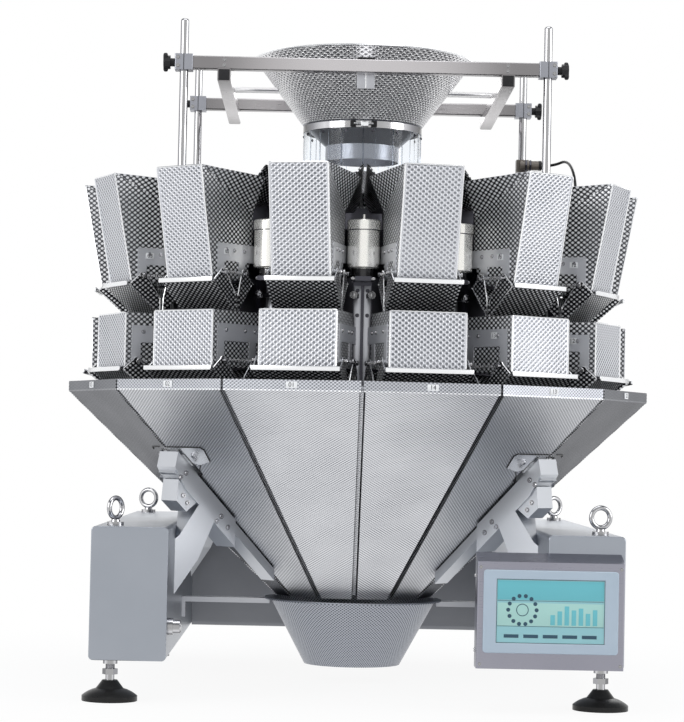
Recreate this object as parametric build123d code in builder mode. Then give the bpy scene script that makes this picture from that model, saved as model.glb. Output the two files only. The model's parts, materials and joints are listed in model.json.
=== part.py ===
from build123d import *
import os
from math import sin, cos, tan, radians

# Fourteen-head combination weigher. Millimetres, +Z up, the origin on the floor on the machine's
# vertical axis, the operator's side towards -Y. Head number n stands at azimuth -(n - 0.5) * pitch
# from the front, so heads 01 and 14 are the two front ones. Every head is drawn in a radial plane
# whose own x is the distance from the axis and whose own y is the height.

# Heads
heads = 14
pitch = 360 / heads
shown_heads = [1, 2, 3, 12, 13, 14]
sheet = 2.0

# Base
base_half_width = 477.0
base_half_length = 514.0
box_width = 138.0
box_bottom = 75.0
box_top = 313.0
box_edge_radius = 8.0
rear_box_length = 139.0
foot_x = 441.0
foot_y = 470.0
foot_diameter = 100.0
foot_height = 37.0
stem_diameter = 16.0
nut_across_flats = 24.0
nut_height = 10.0
boss_diameter = 26.0
boss_height = 9.0
eye_bolt_y = 430.0
eye_ring_diameter = 45.0
eye_ring_section = 9.0
eye_collar_diameter = 30.0
eye_collar_height = 6.0
eye_neck_height = 4.0
connector_diameter = 30.0
connector_length = 24.0
connector_y = 478.0
connector_z = 135.0

# Discharge cone
cone_corner_radius = 575.0
cone_top = 580.0
rim_band_height = 18.0
rim_band_gap = 5.0
cone_slope = 43.7
cone_inner_radius = 152.0
seam_gap = 10.0
seam_flange = 11.0
seam_lip_gap = 0.6
chute_sheet = 2.5
cutout_radius = 426.0
cutout_length = 92.0
cutout_depth = 34.0

# Collecting funnel and the two bars that hold it
collector_top_radius = 162.0
collector_top = 163.0
collector_bottom_radius = 92.0
collector_bottom = 33.0
collector_wall = 3.0
collector_flange_width = 14.0
collector_flange_thickness = 3.0
collector_bar_width = 30.0
collector_bar_height = 10.0
collector_bar_tab = 40.0

# Legs between the base, the cone and the drum
leg_width = 60.0
leg_depth = 38.0
leg_top_radius = 455.0
leg_foot_radius = 318.0
leg_tail_radius = 215.0
leg_tail_depth = 16.0
arm_width = 50.0
arm_depth = 50.0
arm_foot = (432.0, 408.0)
arm_head = (352.0, 545.0)
knuckle_width = 50.0
knuckle_top = (449.0, 396.0)
knuckle_nose = (453.0, 356.0)
knuckle_chin = (430.0, 336.0)
knuckle_back = (408.0, 352.0)
strut_width = 60.0
strut_seat_bottom = 177.0
strut_seat_top = 262.0
strut_shoulder = (448.0, 292.0)
strut_head = (404.0, 350.0)
strut_heel = (368.0, 318.0)
strut_throat = (404.0, 246.0)
strut_toe_radius = 462.0

# Drum
drum_flat_radius = 365.0
drum_bottom = 545.0
drum_top = 768.0
corner_post_width = 34.0
corner_post_groove = 4.0
corner_post_radius = 377.0
top_plate_thickness = 8.0
tongue_width = 30.0
tongue_end_radius = 418.0
rod_tongue_end_radius = 458.0
module_face_radius = 373.0
module_half_width = 44.0
module_bottom = 600.0
carrier_face_radius = 391.0
carrier_top = 836.0

# Feed hopper, in a head's radial plane
feed_half_width = 55.0
feed_top = 970.0
feed_bottom = 768.0
feed_front_top_radius = 547.0
feed_front_bottom_radius = 509.0
feed_back_radius = 400.0
feed_back_bottom_radius = 415.0
feed_back_knee = 830.0
feed_mouth_half_width = 84.0
feed_mouth_crease = 895.0
feed_mouth_back_top = 960.0
feed_outer_pivot = (489.0, 778.0)
feed_inner_pivot = (430.0, 778.0)
feed_vertex = (451.0, 708.0)
feed_outer_lip = (515.5, 762.5)
feed_inner_lip = (407.5, 761.5)

# Weigh hopper, in a head's radial plane
weigh_half_width = 72.0
weigh_top = 708.0
weigh_bottom = 606.0
weigh_front_radius = 525.0
weigh_back_radius = 393.0
weigh_outer_pivot = (504.0, 616.0)
weigh_inner_pivot = (415.0, 616.0)
weigh_vertex = (458.0, 545.0)
weigh_outer_lip = (532.5, 600.5)
weigh_inner_lip = (385.5, 600.5)

# Doors: two wings hang on pins outside the hopper, joined by the plate that closes it
door_gap = 5.0
door_flange = 8.0
inner_door_flange = 3.0
pin_diameter = 6.0
pin_clearance = 0.3
wing_gap = 5.0
wing_boss_radius = 8.0

# Hangers that carry the hoppers: a plate on either side and one across the back
hanger_bar_height = 32.0
hanger_rise = 22.0
hanger_leg_radius = 9.0

# Feeder pans, their vibrators and the central cone
pan_outer_radius = 424.0
pan_outer_top_radius = 404.0
pan_inner_radius = 146.0
pan_bottom = 918.0
pan_half_width = 44.0
pan_inner_half_width = 18.0
pan_ridge = 985.0
pan_inner_ridge = 945.0
pan_gap = 5.0
pan_sheet = 2.5
vibrator_radius = 282.0
vibrator_diameter = 84.0
vibrator_body_top = 872.0
vibrator_head_length = 64.0
vibrator_head_width = 40.0
centre_vibrator_diameter = 130.0
cone_rim_radius = 180.0
cone_rim_z = 955.0
cone_apex_z = 1018.0
cone_wall = 3.0

# Damper cans between the heads
can_radius = 398.0
can_diameter = 60.0
can_lid_diameter = 63.0
can_lid_height = 18.0
can_base_diameter = 42.0
can_bottom = 791.0
can_top = 880.0
can_pin_top = 891.0

# Infeed stand
rod_diameter = 16.0
rod_radius = 441.0
rod_above_tube = 84.0
rod_socket_diameter = 26.0
rod_socket_height = 18.0
slide_clearance = 0.3
tube_size = 25.0
tube_wall = 2.0
side_bar_x = 268.0
stub_thickness = 8.0
clamp_width = 34.0
clamp_length = 34.0
clamp_height = 30.0
knob_diameter = 26.0
knob_length = 22.0
funnel_top_radius = 216.0
funnel_rise = 53.0
funnel_height = 134.0
funnel_neck_radius = 115.0
funnel_wall = 2.5
spout_radius = 71.0
spout_taper_height = 39.0
spout_length = 30.0
bracket_width = 36.0
clear_tube_length = 83.0
clear_tube_lap = 6.0
clear_tube_drop = 4.0
clear_tube_wall = 3.0
band_height = 13.0
band_thickness = 1.5

# Control panel on the front of the right-hand box
panel_left = 209.0
panel_right = 469.0
panel_bottom = 79.0
panel_top = 281.0
panel_depth = 56.0
panel_bevel = 14.0
bezel_left = 220.0
bezel_right = 458.0
bezel_bottom = 107.0
bezel_top = 253.0
bezel_depth = 5.0
bezel_corner = 6.0
screen_left = 243.0
screen_right = 434.0
screen_bottom = 125.0
screen_top = 237.0
screen_depth = 3.0

# Level sensor on the rear right-hand rod
sensor_above_cone = 48.0
sensor_diameter = 20.0
sensor_length = 44.0
sensor_clamp_size = 26.0
cable_diameter = 6.0
cable_gap_radius = 450.0
cable_entry_z = 738.0

half_pitch = radians(pitch / 2)
leg_azimuths = [-2 * pitch, 2 * pitch, 180 - 2 * pitch, 180 + 2 * pitch]


def head_azimuth(number):
    return -(number - 0.5) * pitch


def radial_plane(azimuth):
    """The upright plane through the axis: x is the distance outward, y is the height."""
    a = radians(azimuth)
    return Plane(origin=(0, 0, 0), x_dir=(sin(a), -cos(a), 0), z_dir=(-cos(a), -sin(a), 0))


def cross_plane(radius):
    """The upright plane across the front head at a distance from the axis: x right, y up."""
    return Plane(origin=(0, -radius, 0), x_dir=(1, 0, 0), z_dir=(0, -1, 0))


def ring_point(azimuth, radius, z):
    a = radians(azimuth)
    return (radius * sin(a), -radius * cos(a), z)


front = radial_plane(0)
every_head = PolarLocations(0, heads, start_angle=head_azimuth(1))
every_gap = PolarLocations(0, heads)
os.makedirs("parts", exist_ok=True)


def keep(part, label):
    """Name a finished piece and write its file."""
    part.label = label
    export_step(part, f"parts/{label}.step")


# Base: two long boxes joined by one across the back, on levelling feet
box_inner_x = base_half_width - box_width
box_centre_x = base_half_width - box_width / 2
box_mid_z = (box_top + box_bottom) / 2
for side, label in ((-1, "base_box_left"), (1, "base_box_right")):
    with BuildPart() as base_box:
        with BuildSketch(Plane.XZ.offset(-base_half_length)):
            with Locations((side * box_centre_x, box_mid_z)):
                RectangleRounded(box_width, box_top - box_bottom, box_edge_radius)
        extrude(amount=2 * base_half_length)
        fillet(base_box.faces().sort_by(Axis.Y)[0].edges(), sheet)
    keep(base_box.part, label)

with BuildPart() as base_rear_box:
    with BuildSketch(Plane.YZ.offset(-box_inner_x)):
        with Locations((base_half_length - rear_box_length / 2, box_mid_z)):
            RectangleRounded(rear_box_length, box_top - box_bottom, box_edge_radius)
    extrude(amount=2 * box_inner_x)
keep(base_rear_box.part, "base_rear_box")

feet = GridLocations(2 * foot_x, 2 * foot_y, 2, 2)
with BuildPart() as foot_pad:
    with BuildSketch(Plane.XZ):
        with BuildLine():
            Polyline((0, foot_height), (0, 0), (foot_diameter / 2, 0), (foot_diameter / 2, 9))
            ThreePointArc((foot_diameter / 2, 9), (foot_diameter * 0.4, 16), (foot_diameter * 0.25, 22))
            Polyline((foot_diameter * 0.25, 22), (stem_diameter * 0.85, foot_height), (0, foot_height))
        make_face()
    revolve(axis=Axis.Z)
with BuildPart() as foot_pads:
    with feet:
        add(foot_pad.part)
keep(foot_pads.part, "foot_pads")

with BuildPart() as foot_stem:
    with BuildSketch(Plane.XY.offset(foot_height)):
        Circle(stem_diameter / 2)
    extrude(amount=box_bottom - foot_height)
    with BuildSketch(Plane.XY.offset(foot_height + nut_height)):
        RegularPolygon(nut_across_flats / 2, 6, major_radius=False)
    extrude(amount=nut_height)
    with BuildSketch(Plane.XY.offset(box_bottom - boss_height)):
        Circle(boss_diameter / 2)
    extrude(amount=boss_height)
with BuildPart() as foot_stems:
    with feet:
        add(foot_stem.part)
keep(foot_stems.part, "foot_stems")

ring_mid_radius = (eye_ring_diameter - eye_ring_section) / 2
neck_top = box_top + eye_collar_height + eye_neck_height
ring_centre_z = neck_top + eye_ring_diameter / 2 - 1.5
with BuildPart() as eye_bolt:
    with BuildSketch(Plane.XY.offset(box_top)):
        Circle(eye_collar_diameter / 2)
    extrude(amount=eye_collar_height)
    with BuildSketch(Plane.XY.offset(box_top + eye_collar_height)):
        Circle(eye_ring_section * 0.95)
    extrude(amount=eye_neck_height, taper=12)
    with Locations(Plane(origin=(0, 0, ring_centre_z), z_dir=(0, 1, 0))):
        Torus(ring_mid_radius, eye_ring_section / 2)
with BuildPart() as eye_bolts:
    for x, y, turn in ((foot_x, -eye_bolt_y, 15), (-foot_x, -eye_bolt_y, 55),
                       (foot_x, eye_bolt_y, 35), (-foot_x, eye_bolt_y, -20)):
        with Locations(Location((x, y, 0), (0, 0, turn))):
            add(eye_bolt.part)
keep(eye_bolts.part, "eye_bolts")

with BuildPart() as base_connector:
    with BuildSketch(Plane.YZ.offset(-box_inner_x)):
        with Locations((-connector_y, connector_z)):
            Circle(connector_diameter / 2)
    extrude(amount=connector_length * 0.4)
    with BuildSketch(Plane.YZ.offset(-box_inner_x + connector_length * 0.4)):
        with Locations((-connector_y, connector_z)):
            Circle(connector_diameter * 0.4)
    extrude(amount=connector_length * 0.6)
    chamfer(base_connector.faces().sort_by(Axis.X)[-1].edges(), 2)
keep(base_connector.part, "base_connector")

# Discharge cone: fourteen bent sheets. Each is a flat panel with a rim band on top and a flange
# turned into the cone along both seams; the flange on one side has a lip that reaches to the next
# panel, so the seam is closed inside and shows as a channel outside.
cone_flat_radius = cone_corner_radius * cos(half_pitch)
slope_rise = tan(radians(cone_slope))
slope_cos = cos(radians(cone_slope))
slope_sin = sin(radians(cone_slope))
band_bottom = cone_top - rim_band_height
panel_run = (cone_flat_radius - cone_inner_radius) / slope_cos
panel_plane = Plane(origin=(0, -cone_flat_radius, band_bottom), x_dir=(1, 0, 0),
                    z_dir=(0, slope_sin, slope_cos))


def cone_height(radius):
    """Height of a panel's inner face where it lies this far out in its head's plane."""
    return band_bottom - (cone_flat_radius - radius) * slope_rise


def seam_x(run, inset=0.0):
    """Half the panel's width after a run down the slope, less an inset along the seam."""
    radius = cone_flat_radius - run * slope_cos
    return radius * tan(half_pitch) - seam_gap / 2 / cos(half_pitch) - inset


flange_lean = 2 * seam_flange * slope_sin * sin(half_pitch)
lip_reach = seam_gap - flange_lean - seam_lip_gap
with BuildPart() as plain_panel:
    with BuildSketch(panel_plane):
        Polygon((-seam_x(0), 0), (seam_x(0), 0), (seam_x(panel_run), panel_run),
                (-seam_x(panel_run), panel_run), align=None)
    extrude(amount=-chute_sheet)
    with BuildSketch(panel_plane):
        Polygon((seam_x(0, chute_sheet), 0), (seam_x(0), 0), (seam_x(panel_run), panel_run),
                (seam_x(panel_run, chute_sheet), panel_run), align=None)
        mirror(about=Plane.YZ)
    extrude(amount=seam_flange)
    with BuildSketch(panel_plane.offset(seam_flange - chute_sheet)):
        Polygon((seam_x(0, chute_sheet), 0), (seam_x(0, -lip_reach), 0),
                (seam_x(panel_run, -lip_reach), panel_run),
                (seam_x(panel_run, chute_sheet), panel_run), align=None)
    extrude(amount=chute_sheet)
    with BuildSketch(front):
        with Locations((cone_flat_radius + chute_sheet / 2, (cone_top + band_bottom - sheet) / 2)):
            Rectangle(chute_sheet, rim_band_height + sheet)
    extrude(amount=(cone_flat_radius + chute_sheet) * tan(half_pitch) - rim_band_gap / 2, both=True)

cutout_run = (cone_flat_radius - cutout_radius * cos(half_pitch)) / slope_cos
cut_start = cutout_run - cutout_length / 2
cut_end = cutout_run + cutout_length / 2
cut_panels = []
for side in (-1, 1):
    with BuildPart() as cut_panel:
        add(plain_panel.part)
        with BuildSketch(panel_plane.offset(-3 * chute_sheet)):
            Polygon((side * seam_x(cut_start, -seam_gap), cut_start),
                    (side * seam_x(cut_start, cutout_depth * 0.6), cut_start),
                    (side * seam_x(cut_start + cutout_depth * 0.5, cutout_depth),
                     cut_start + cutout_depth * 0.5),
                    (side * seam_x(cut_end - cutout_depth * 0.7, cutout_depth),
                     cut_end - cutout_depth * 0.7),
                    (side * seam_x(cut_end, -seam_gap), cut_end), align=None)
        extrude(amount=seam_flange + 5 * chute_sheet, mode=Mode.SUBTRACT)
    cut_panels.append(cut_panel.part)
with BuildPart() as discharge_chutes:
    for number in range(1, heads + 1):
        azimuth = head_azimuth(number) % 360
        beside = [((gap - azimuth + 180) % 360) - 180 for gap in leg_azimuths]
        side = next((1 if turn > 0 else -1 for turn in beside if abs(turn) < pitch * 0.75), 0)
        with Locations(Location((0, 0, 0), (0, 0, azimuth))):
            add(plain_panel.part if side == 0 else cut_panels[0 if side < 0 else 1])
keep(discharge_chutes.part, "discharge_chutes")

# Collecting funnel under the cone
collector_lean = (collector_top_radius - collector_bottom_radius) / (collector_top - collector_bottom)
flange_lean_in = collector_flange_thickness * collector_lean
flange_z = collector_top - collector_flange_thickness
with BuildPart() as collecting_funnel:
    with BuildSketch(Plane.XZ):
        with BuildLine():
            Polyline((collector_top_radius, collector_top), (collector_bottom_radius, collector_bottom),
                     (collector_bottom_radius + collector_wall, collector_bottom),
                     (collector_top_radius + collector_wall - flange_lean_in, flange_z),
                     (collector_top_radius + collector_flange_width, flange_z),
                     (collector_top_radius + collector_flange_width, collector_top), close=True)
        make_face()
    revolve(axis=Axis.Z)
keep(collecting_funnel.part, "collecting_funnel")

bar_end_x = collector_top_radius + collector_wall + 1
with BuildPart() as funnel_support_bars:
    with BuildSketch(Plane.XZ):
        Polygon((bar_end_x, flange_z), (box_inner_x, flange_z),
                (box_inner_x, flange_z - collector_bar_tab),
                (box_inner_x - collector_bar_height * 0.6, flange_z - collector_bar_tab),
                (box_inner_x - collector_bar_height * 0.6, flange_z - collector_bar_height),
                (bar_end_x, flange_z - collector_bar_height), align=None)
    extrude(amount=collector_bar_width / 2, both=True)
    mirror(about=Plane.YZ)
keep(funnel_support_bars.part, "funnel_support_bars")


# Legs: each runs along a seam under the cone, with a strut to the base and an arm up to the drum
def leg_top(radius):
    """Height of a leg's upper face, on which the panels on either side of the seam rest."""
    panel_radius = radius * cos(half_pitch) + seam_gap / 2 * sin(half_pitch)
    return cone_height(panel_radius) - chute_sheet / slope_cos


leg_slope = slope_rise * cos(half_pitch)
leg_drop = leg_depth * (1 + leg_slope ** 2) ** 0.5
tail_drop = leg_tail_depth * (1 + leg_slope ** 2) ** 0.5
arm_run = Vector(arm_head[0] - arm_foot[0], arm_head[1] - arm_foot[1])
arm_side = Vector(arm_run.Y, -arm_run.X).normalized() * (arm_depth / 2)
arm_rate = arm_run.X / arm_run.Y
strut_reach = box_inner_x / sin(radians(2 * pitch)) + strut_width


def arm_edge(side, z):
    """Where the arm's outer (+1) or inner (-1) face passes a height."""
    foot = Vector(*arm_foot) + arm_side * side
    return (foot.X + (z - foot.Y) * arm_rate, z)


with BuildPart() as support_legs:
    for azimuth in leg_azimuths:
        with BuildSketch(radial_plane(azimuth)):
            Polygon((leg_top_radius, leg_top(leg_top_radius)), (leg_foot_radius, leg_top(leg_foot_radius)),
                    (leg_foot_radius, leg_top(leg_foot_radius) - leg_drop),
                    (leg_top_radius - leg_depth / 2, leg_top(leg_top_radius - leg_depth / 2) - leg_drop),
                    (leg_top_radius + 6, leg_top(leg_top_radius) - leg_drop * 0.55), align=None)
        extrude(amount=leg_width / 2, both=True)
        with BuildSketch(radial_plane(azimuth)):
            Polygon((leg_foot_radius, leg_top(leg_foot_radius)), (leg_tail_radius, leg_top(leg_tail_radius)),
                    (leg_tail_radius, leg_top(leg_tail_radius) - tail_drop),
                    (leg_foot_radius, leg_top(leg_foot_radius) - tail_drop), align=None)
        extrude(amount=leg_width * 0.35, both=True)
        with BuildSketch(radial_plane(azimuth)):
            Polygon(arm_edge(1, arm_foot[1]), arm_edge(1, drum_bottom), arm_edge(-1, drum_bottom),
                    arm_edge(-1, arm_foot[1] - leg_depth / 2), align=None)
        extrude(amount=arm_width / 2, both=True)
        with BuildSketch(radial_plane(azimuth)):
            Polygon(knuckle_top, knuckle_nose, knuckle_chin, knuckle_back, align=None)
        extrude(amount=knuckle_width / 2, both=True)
with BuildPart() as leg_struts:
    for azimuth in leg_azimuths:
        with BuildSketch(radial_plane(azimuth)):
            Polygon((strut_reach, strut_seat_bottom), (strut_reach, strut_seat_top), strut_shoulder,
                    strut_head, strut_heel, strut_throat, (strut_toe_radius, strut_seat_bottom), align=None)
        extrude(amount=strut_width / 2, both=True)
    with BuildSketch(Plane.XY):
        Rectangle(2 * box_inner_x, 2 * base_half_length)
    extrude(amount=cone_top, mode=Mode.INTERSECT)
with BuildPart() as all_legs:
    add(support_legs.part)
    add(leg_struts.part)
keep(all_legs.part, "support_legs")

# Drum: a fourteen-sided housing with a post on each corner and a drive module on each flat
with BuildPart() as drum_housing:
    with BuildSketch(Plane.XY.offset(drum_bottom)):
        RegularPolygon(drum_flat_radius, heads, major_radius=False, rotation=pitch / 2)
        with every_gap:
            with Locations((0, -corner_post_radius + 20)):
                Rectangle(corner_post_width, 40)
    extrude(amount=drum_top - drum_bottom)
    with BuildSketch(Plane.XY.offset(drum_bottom)):
        with every_gap:
            with Locations((0, -corner_post_radius)):
                Rectangle(corner_post_groove, 8)
    extrude(amount=drum_top - drum_bottom, mode=Mode.SUBTRACT)
keep(drum_housing.part, "drum_housing")

plate_top = drum_top + top_plate_thickness
with BuildPart() as drum_top_plate:
    with BuildSketch(Plane.XY.offset(drum_top)):
        RegularPolygon(drum_flat_radius, heads, major_radius=False, rotation=pitch / 2)
        with every_gap:
            with Locations((0, -tongue_end_radius + 40)):
                Rectangle(tongue_width, 80)
        for azimuth in leg_azimuths:
            with Locations(Location((0, 0, 0), (0, 0, azimuth))):
                with Locations((0, -rod_tongue_end_radius + 60)):
                    Rectangle(tongue_width, 120)
    extrude(amount=top_plate_thickness)
keep(drum_top_plate.part, "drum_top_plate")

with BuildPart() as drive_module:
    with BuildSketch(front):
        Polygon((drum_flat_radius, module_bottom), (drum_flat_radius, carrier_top - 4),
                (drum_flat_radius + 4, carrier_top), (carrier_face_radius, carrier_top),
                (carrier_face_radius, plate_top + 12), (module_face_radius, plate_top),
                (module_face_radius, module_bottom), align=None)
    extrude(amount=module_half_width, both=True)
with BuildPart() as drive_modules:
    with every_head:
        add(drive_module.part)
keep(drive_modules.part, "drive_modules")

# Feed hopper: a sleeve of sheet whose sides open out into a mouth above a slanting crease
front_lean = (feed_front_top_radius - feed_front_bottom_radius) / (feed_top - feed_bottom)
back_lean = (feed_back_bottom_radius - feed_back_radius) / (feed_back_knee - feed_bottom)
crease_front = Vector(feed_half_width, -feed_front_top_radius, feed_top)
crease_back = Vector(feed_half_width, -feed_back_radius, feed_mouth_crease)
mouth_back = Vector(feed_mouth_half_width, -feed_back_radius, feed_mouth_back_top)
mouth_plane = Plane(origin=crease_back, x_dir=crease_front - crease_back,
                    z_dir=(crease_front - crease_back).cross(mouth_back - crease_back))
over = 20.0
with BuildPart() as feed_hopper:
    with BuildSketch(front):
        Polygon((feed_front_top_radius, feed_top), (feed_front_bottom_radius, feed_bottom),
                (feed_back_bottom_radius, feed_bottom), (feed_back_radius, feed_back_knee),
                (feed_back_radius, feed_mouth_crease), align=None)
    extrude(amount=feed_half_width, both=True)
    with BuildSketch(front):
        Polygon((feed_front_top_radius + over * front_lean - sheet, feed_top + over),
                (feed_front_bottom_radius - over * front_lean - sheet, feed_bottom - over),
                (feed_back_bottom_radius + over * back_lean + sheet, feed_bottom - over),
                (feed_back_radius + sheet, feed_back_knee), (feed_back_radius + sheet, feed_top + over),
                align=None)
    extrude(amount=feed_half_width - sheet, both=True, mode=Mode.SUBTRACT)
    with BuildSketch(mouth_plane):
        crease_length = (crease_front - crease_back).length
        flare = mouth_plane.to_local_coords(mouth_back)
        Polygon((0, 0), (0, -sheet * 0.6), (crease_length - over, -sheet * 0.6), (crease_length, 0),
                (flare.X, flare.Y), align=None)
    extrude(amount=sheet)
    mirror(about=Plane.YZ)
with BuildPart() as feed_hoppers:
    with every_head:
        add(feed_hopper.part)
keep(feed_hoppers.part, "feed_hoppers")

with BuildPart() as weigh_hopper:
    with BuildSketch(Plane.XY.offset(weigh_bottom)):
        with Locations((0, -(weigh_front_radius + weigh_back_radius) / 2)):
            Rectangle(2 * weigh_half_width, weigh_front_radius - weigh_back_radius)
            Rectangle(2 * weigh_half_width - 2 * sheet, weigh_front_radius - weigh_back_radius - 2 * sheet,
                      mode=Mode.SUBTRACT)
    extrude(amount=weigh_top - weigh_bottom)
with BuildPart() as weigh_hoppers:
    with every_head:
        add(weigh_hopper.part)
keep(weigh_hoppers.part, "weigh_hoppers")


# Hangers: smooth plates along both sides of a hopper, joined across the back, with a pin for each
# wing of each door
def hanger(half_width, outer_pivot, inner_pivot, back_radius, bar_bottom):
    bar_top = bar_bottom + hanger_bar_height
    wing_outside = half_width + sheet + wing_gap + sheet
    with BuildPart() as bracket:
        with BuildSketch(front):
            Polygon((back_radius, bar_bottom), (back_radius, bar_top),
                    (outer_pivot[0] + hanger_leg_radius, bar_top),
                    (outer_pivot[0] + hanger_leg_radius, bar_bottom), align=None)
            for pivot in (outer_pivot, inner_pivot):
                Polygon((pivot[0] - hanger_leg_radius, pivot[1]), (pivot[0] + hanger_leg_radius, pivot[1]),
                        (pivot[0] + hanger_leg_radius, bar_bottom + sheet),
                        (pivot[0] - hanger_leg_radius, bar_bottom + sheet), align=None)
                with Locations(pivot):
                    Circle(hanger_leg_radius)
        extrude(amount=half_width + sheet, both=True)
        with BuildSketch(front):
            with Locations(((back_radius + sheet + outer_pivot[0] + over) / 2, bar_bottom)):
                Rectangle(outer_pivot[0] + over - back_radius - sheet, 6 * hanger_bar_height)
        extrude(amount=half_width, both=True, mode=Mode.SUBTRACT)
        with BuildSketch(front):
            with Locations(outer_pivot, inner_pivot):
                Circle(pin_diameter / 2)
        extrude(amount=wing_outside + 1.5, both=True)
        with BuildSketch(front):
            with Locations(outer_pivot, inner_pivot):
                Circle(pin_diameter * 0.75)
        extrude(amount=half_width + sheet + 1.5, both=True)
        with BuildSketch(front):
            with Locations(outer_pivot, inner_pivot):
                Circle(pin_diameter * 2)
        extrude(amount=half_width, both=True, mode=Mode.SUBTRACT)
    return bracket.part


feed_hanger_bar = feed_outer_pivot[1] + hanger_rise
weigh_hanger_bar = weigh_outer_pivot[1] + hanger_rise + 14
feed_bracket = hanger(feed_half_width, feed_outer_pivot, feed_inner_pivot, carrier_face_radius,
                      feed_hanger_bar)
weigh_bracket = hanger(weigh_half_width, weigh_outer_pivot, weigh_inner_pivot, module_face_radius,
                       weigh_hanger_bar)
with BuildPart() as hopper_hangers:
    with every_head:
        add(feed_bracket)
        add(weigh_bracket)
keep(hopper_hangers.part, "hopper_hangers")


# Doors: drawn closed in the front plane. side is +1 for the outer door of a pair, -1 for the inner
def door(half_width, pivot, lip, vertex, side):
    wing_inside = half_width + sheet + wing_gap
    wing_outside = wing_inside + sheet
    tip = (vertex[0] + side * (door_gap / 2 + sheet / 2), vertex[1])
    flange = door_flange if side > 0 else inner_door_flange
    with BuildPart() as leaf:
        with BuildSketch(front):
            Polygon(lip, tip, (tip[0], tip[1] + (pivot[1] - tip[1]) * 0.42),
                    (pivot[0] - side * wing_boss_radius, pivot[1]),
                    (pivot[0] + side * wing_boss_radius * 0.9, pivot[1] + wing_boss_radius * 0.3),
                    align=None)
            with Locations(pivot):
                Circle(wing_boss_radius)
                Circle(pin_diameter / 2 + pin_clearance, mode=Mode.SUBTRACT)
        extrude(amount=wing_outside, both=True)
        with BuildSketch(front):
            with Locations(pivot):
                Rectangle(8 * over, 8 * over)
        extrude(amount=wing_inside, both=True, mode=Mode.SUBTRACT)
        with BuildSketch(front):
            with BuildLine():
                Polyline((lip[0] + side * flange, lip[1]), lip, tip)
            trace(line_width=sheet)
        extrude(amount=wing_outside, both=True)
    return leaf.part


door_kinds = {
    "feed_outer_door": door(feed_half_width, feed_outer_pivot, feed_outer_lip, feed_vertex, 1),
    "feed_inner_door": door(feed_half_width, feed_inner_pivot, feed_inner_lip, feed_vertex, -1),
    "weigh_outer_door": door(weigh_half_width, weigh_outer_pivot, weigh_outer_lip, weigh_vertex, 1),
    "weigh_inner_door": door(weigh_half_width, weigh_inner_pivot, weigh_inner_lip, weigh_vertex, -1),
}
for name, leaf in door_kinds.items():
    for number in shown_heads:
        keep(leaf.rotate(Axis.Z, head_azimuth(number)), f"{name}_{number:02d}")
with BuildPart() as rear_hopper_doors:
    for number in range(1, heads + 1):
        if number not in shown_heads:
            with Locations(Location((0, 0, 0), (0, 0, head_azimuth(number)))):
                for leaf in door_kinds.values():
                    add(leaf)
keep(rear_hopper_doors.part, "rear_hopper_doors")


# Linear feeder pans: their walls lean out to a ridge between one head and the next
def pan_section(radius, half_width, ridge):
    ridge_half = radius * tan(half_pitch) - pan_gap / 2
    wall = pan_sheet * 1.3
    floor_half = half_width - wall * 0.6
    floor_top = pan_bottom + pan_sheet
    return [(half_width, pan_bottom), (ridge_half, ridge), (ridge_half - wall, ridge),
            (floor_half, floor_top), (-floor_half, floor_top), (-ridge_half + wall, ridge),
            (-ridge_half, ridge), (-half_width, pan_bottom)]


with BuildPart() as linear_pan:
    with BuildSketch(cross_plane(pan_outer_radius)):
        Polygon(*pan_section(pan_outer_radius, pan_half_width, pan_ridge), align=None)
    with BuildSketch(cross_plane(pan_inner_radius)):
        Polygon(*pan_section(pan_inner_radius, pan_inner_half_width, pan_inner_ridge), align=None)
    loft(ruled=True)
    with BuildSketch(front):
        Polygon((pan_outer_radius, pan_bottom), (pan_outer_top_radius, pan_ridge + 1),
                (pan_outer_radius + over, pan_ridge + 1), (pan_outer_radius + over, pan_bottom), align=None)
    extrude(amount=pan_outer_radius, both=True, mode=Mode.SUBTRACT)
with BuildPart() as linear_pans:
    with every_head:
        add(linear_pan.part)
keep(linear_pans.part, "linear_pans")

with BuildPart() as feeder_vibrator:
    with BuildSketch(Plane.XY.offset(plate_top)):
        with Locations((0, -vibrator_radius)):
            Circle(vibrator_diameter / 2)
    extrude(amount=vibrator_body_top - plate_top)
    with BuildSketch(Plane.XY.offset(vibrator_body_top)):
        with Locations((0, -vibrator_radius)):
            Rectangle(vibrator_head_width, vibrator_head_length)
    extrude(amount=pan_bottom - vibrator_body_top)
with BuildPart() as feeder_vibrators:
    with every_head:
        add(feeder_vibrator.part)
    with BuildSketch(Plane.XY.offset(plate_top)):
        Circle(centre_vibrator_diameter / 2)
    extrude(amount=cone_rim_z - cone_wall - 16 - plate_top)
keep(feeder_vibrators.part, "feeder_vibrators")

with BuildPart() as top_cone:
    with BuildSketch(Plane.XZ):
        Polygon((0, cone_apex_z), (12, cone_apex_z - 2), (cone_rim_radius, cone_rim_z),
                (cone_rim_radius, cone_rim_z - cone_wall), (30, cone_apex_z - 16),
                (30, cone_rim_z - cone_wall - 16), (0, cone_rim_z - cone_wall - 16), align=None)
    revolve(axis=Axis.Z)
keep(top_cone.part, "top_cone")

with BuildPart() as vibrator_can:
    with BuildSketch(Plane.XZ):
        Polygon((0, plate_top), (can_base_diameter / 2, plate_top), (can_base_diameter / 2, can_bottom),
                (can_diameter / 2 - 2, can_bottom), (can_diameter / 2, can_bottom + 2),
                (can_diameter / 2, can_top - can_lid_height),
                (can_lid_diameter / 2, can_top - can_lid_height),
                (can_lid_diameter / 2, can_top - 2), (can_lid_diameter / 2 - 2, can_top), (3, can_top),
                (3, can_pin_top), (0, can_pin_top), align=None)
    revolve(axis=Axis.Z)
with BuildPart() as vibrator_cans:
    with PolarLocations(can_radius, heads, start_angle=-90):
        add(vibrator_can.part)
keep(vibrator_cans.part, "vibrator_cans")

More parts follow.
